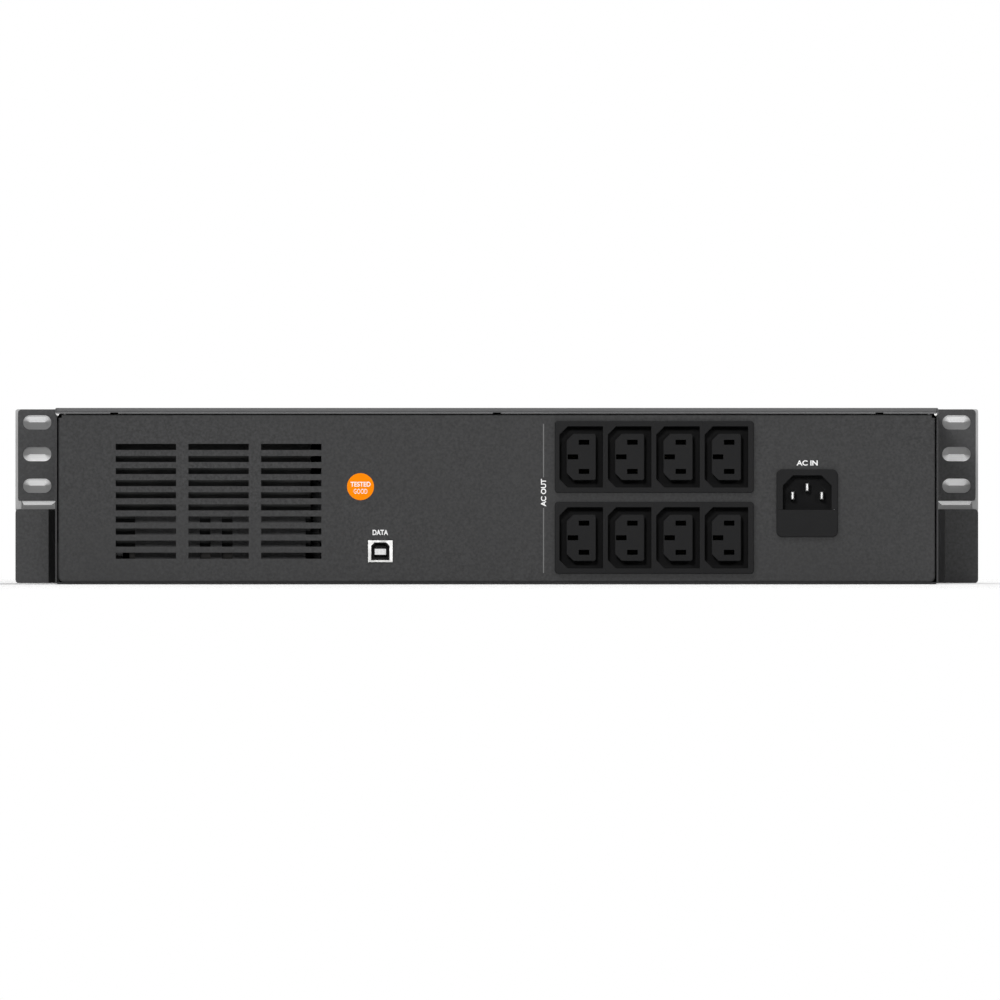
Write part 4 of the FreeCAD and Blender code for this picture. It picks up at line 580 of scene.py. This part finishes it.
def tube_mesh(name, outer, inner, back, front):
    """A tube along Y between two outlines that have the same number of corners."""
    mesh = bpy.data.meshes.new(name)
    shape = bmesh.new()
    rings = [[shape.verts.new((x, y, z)) for x, z in line] for line in (outer, inner) for y in (back, front)]
    outer_back, outer_front, inner_back, inner_front = rings
    around = [outer_back, outer_front, inner_front, inner_back]
    count = len(outer)
    for first in range(count):
        after = (first + 1) % count
        for one, other in zip(around, around[1:] + around[:1]):
            shape.faces.new((one[first], one[after], other[after], other[first]))
    bmesh.ops.recalc_face_normals(shape, faces=shape.faces)
    shape.to_mesh(mesh)
    shape.free()
    return mesh


def data_shade_liner(materials):
    """Painted shade: a black sleeve inside the data socket's metal shell and a thin black rim on its front
    edge, standing in for the shade in the socket.
    """
    low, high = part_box("usb_shell")
    x, z = (low.x + high.x) / 2, (low.z + high.z) / 2

    def outline(inset):
        half_w, half_h, corner = 4.25 * MM - inset, 4.1 * MM - inset, 1.7 * MM
        right = [(half_w, -half_h), (half_w, half_h - corner), (half_w - corner, half_h)]
        left = [(-across, up) for across, up in reversed(right)]
        return [(x + across, z + up) for across, up in left[-1:] + right + left[:-1]]

    # painted shade: a black sleeve lining the shell
    mesh = tube_mesh("data_shade_liner", outline(0.01 * MM), outline(0.3 * MM), low.y + 8.9 * MM, low.y + 0.5 * MM)
    add_piece("data_shade_liner", mesh, materials["insulator"], "chassis")
    # painted shade: a thin black rim over the shell's front edge
    mesh = tube_mesh("data_shade_lip", outline(-0.3 * MM), outline(0.1 * MM), low.y, low.y - 2 * FILM)
    add_piece("data_shade_lip", mesh, materials["insulator"], "chassis")


def outlet_cards(materials):
    """The insulating card across the back of each outlet strip."""
    for row in ("upper", "lower"):
        low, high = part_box("outlet_frame_" + row)
        inset = 2.0 * MM
        outline = rectangle(low.x + inset, high.x - inset, low.z + inset, high.z - inset)
        mesh = plate_mesh("outlet_card_" + row, outline, high.y + 0.45 * MM, high.y + 0.05 * MM)
        add_piece("outlet_card_" + row, mesh, materials["black_component"], "chassis")


def display_marks(materials):
    """What the display shows: a three-digit figure over two rows of level bars."""
    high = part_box("lcd_lens")[1]
    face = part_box("lcd_panel")[1].y
    right, top = high.x - 5.0 * MM, high.z - 4.0 * MM
    bars = []
    width, height, stroke, pitch = 4.8 * MM, 8.6 * MM, 1.15 * MM, 6.6 * MM
    for place, lit in enumerate(("bc", "abcdef", "abcdef")):
        left = pitch * place + 8.0 * MM - right
        strokes = segments(lit, left, top - height, width, height, stroke)
        bars += [(-x1, -x0, z0, z1) for x0, x1, z0, z1 in strokes]
    bar_w, bar_h, bar_pitch, row_pitch = 3.2 * MM, 2.2 * MM, 4.4 * MM, 4.2 * MM
    for row, count in enumerate((7, 5)):
        for step in range(count):
            x = right - 4.0 * MM - bar_pitch * step
            z = top - 12.6 * MM - row_pitch * row
            bars.append((x - bar_w, x, z - bar_h, z))
    for index, (x0, x1, z0, z1) in enumerate(bars):
        name = f"display_mark_{index + 1}"
        mesh = plate_mesh(name, rectangle(x0, x1, z0, z1), face + 0.01 * MM, face + 0.01 * MM + FILM)
        add_piece(name, mesh, materials["display_mark"], "chassis")


def segments(lit, left, low, width, height, stroke):
    """The strokes of one seven-segment figure, as X and Z extents."""
    middle, top, right, gap = low + height / 2, low + height, left + width, 0.12 * MM
    strokes = {
        "a": (left + stroke, right - stroke, top - stroke, top),
        "b": (right - stroke, right, middle + gap, top),
        "c": (right - stroke, right, low, middle - gap),
        "d": (left + stroke, right - stroke, low, low + stroke),
        "e": (left, left + stroke, low, middle - gap),
        "f": (left, left + stroke, middle + gap, top),
    }
    return [strokes[letter] for letter in lit]


# ---------------------------------------------------------------- floor, light and camera


def make_floor():
    """A pale round floor that fades out into the white behind it."""
    mesh = bpy.data.meshes.new("floor")
    shape = bmesh.new()
    bmesh.ops.create_circle(shape, cap_ends=True, segments=96, radius=FLOOR_RADIUS)
    shape.to_mesh(mesh)
    shape.free()
    floor = bpy.data.objects.new("floor", mesh)
    floor.location.z = CAD_BOX[0].z - 0.05 * MM
    bpy.context.scene.collection.objects.link(floor)
    paint = Paint("floor_paper", roughness=0.9)
    reach = paint.node("VectorMath", {0: paint.place}, operation="LENGTH").outputs["Value"]
    mottle = paint.noise(3.0, 3.0)
    paint.feed("Base Color", paint.blend(mottle, grey(0.8), grey(0.84)))
    paint.feed("Alpha", paint.between(reach, FLOOR_RADIUS * 0.98, FLOOR_RADIUS * 0.45))
    mesh.materials.append(paint.material)


def make_world():
    """White beyond the floor, and a soft fill that is brighter from above than from below."""
    world = bpy.data.worlds.new("studio")
    bpy.context.scene.world = world
    world.use_nodes = True
    tree = world.node_tree
    tree.nodes.clear()
    coordinates = tree.nodes.new("ShaderNodeTexCoord")
    split = tree.nodes.new("ShaderNodeSeparateXYZ")
    tree.links.new(coordinates.outputs["Generated"], split.inputs[0])
    level = tree.nodes.new("ShaderNodeMapRange")
    level.inputs["From Min"].default_value = -0.6
    level.inputs["From Max"].default_value = 0.9
    level.inputs["To Min"].default_value = 0.17
    level.inputs["To Max"].default_value = 0.5
    tree.links.new(split.outputs["Z"], level.inputs["Value"])
    fill = tree.nodes.new("ShaderNodeBackground")
    tree.links.new(level.outputs[0], fill.inputs["Strength"])
    seen = tree.nodes.new("ShaderNodeBackground")
    seen.inputs["Strength"].default_value = 1.0
    seen.inputs["Color"].default_value = WHITE
    path = tree.nodes.new("ShaderNodeLightPath")
    mix = tree.nodes.new("ShaderNodeMixShader")
    tree.links.new(path.outputs["Is Camera Ray"], mix.inputs[0])
    tree.links.new(fill.outputs[0], mix.inputs[1])
    tree.links.new(seen.outputs[0], mix.inputs[2])
    output = tree.nodes.new("ShaderNodeOutputWorld")
    tree.links.new(mix.outputs[0], output.inputs["Surface"])


def softbox(name, place, aim, size, watts):
    """A square area light at place, facing aim."""
    data = bpy.data.lights.new(name, "AREA")
    data.energy = watts
    data.size = size
    lamp = bpy.data.objects.new(name, data)
    lamp.location = place
    lamp.visible_camera = False
    lamp.rotation_euler = (Vector(aim) - Vector(place)).to_track_quat("-Z", "Y").to_euler()
    bpy.context.scene.collection.objects.link(lamp)


def make_lights():
    """A low, nearly frontal key on the rear, a soft one on each long side, and a broad light overhead."""
    softbox("key_rear", (-0.21, -4.15, 0.56), (0.0, -0.19, 0.04), 0.25, 43.0)
    softbox("side_rear", (0.85, -4.0, 0.5), (0.0, -0.19, 0.04), 0.3, 14.0)
    softbox("soft_rear", (-0.9, -1.7, 2.2), (0.0, -0.19, 0.04), 1.0, 20.0)
    softbox("key_front", (1.3, 1.9, 1.9), (0.0, 0.19, 0.04), 1.2, 42.0)
    softbox("overhead", (0.0, 0.0, 2.6), (0.0, 0.0, 0.0), 1.6, 24.0)


def make_camera():
    """A very long lens square to the rear panel, so that the view is close to a parallel one."""
    data = bpy.data.cameras.new("camera")
    data.sensor_width = SENSOR
    data.lens = LENS
    data.clip_start = 1.0
    data.clip_end = 60.0
    camera = bpy.data.objects.new("camera", data)
    low, high = CAD_BOX
    middle_y = (low.y + high.y) / 2
    away = FIELD_WIDTH * LENS / SENSOR
    camera.location = (VIEW_X, middle_y - away, VIEW_Z)
    camera.rotation_euler = (math.radians(90.0), 0.0, 0.0)
    bpy.context.scene.collection.objects.link(camera)
    bpy.context.scene.camera = camera


def main():
    """Builds the whole scene around the frame."""
    materials = make_materials()
    materials["print_white"] = ink("print_white", grey(0.95))
    materials["print_grey"] = ink("print_grey", grey(0.17))
    materials["sticker_orange"] = ink("sticker_orange", (1.0, 0.265, 0.003, 1.0), 0.02)
    materials["display_mark"] = ink("display_mark", (0.01, 0.03, 0.04, 1.0))
    paint_nodes(materials)
    printed_marks(materials)
    corner_lugs(materials)
    data_shade_liner(materials)
    outlet_cards(materials)
    display_marks(materials)
    make_floor()
    make_world()
    make_lights()
    make_camera()
    bpy.context.scene.view_settings.view_transform = "Standard"


main()
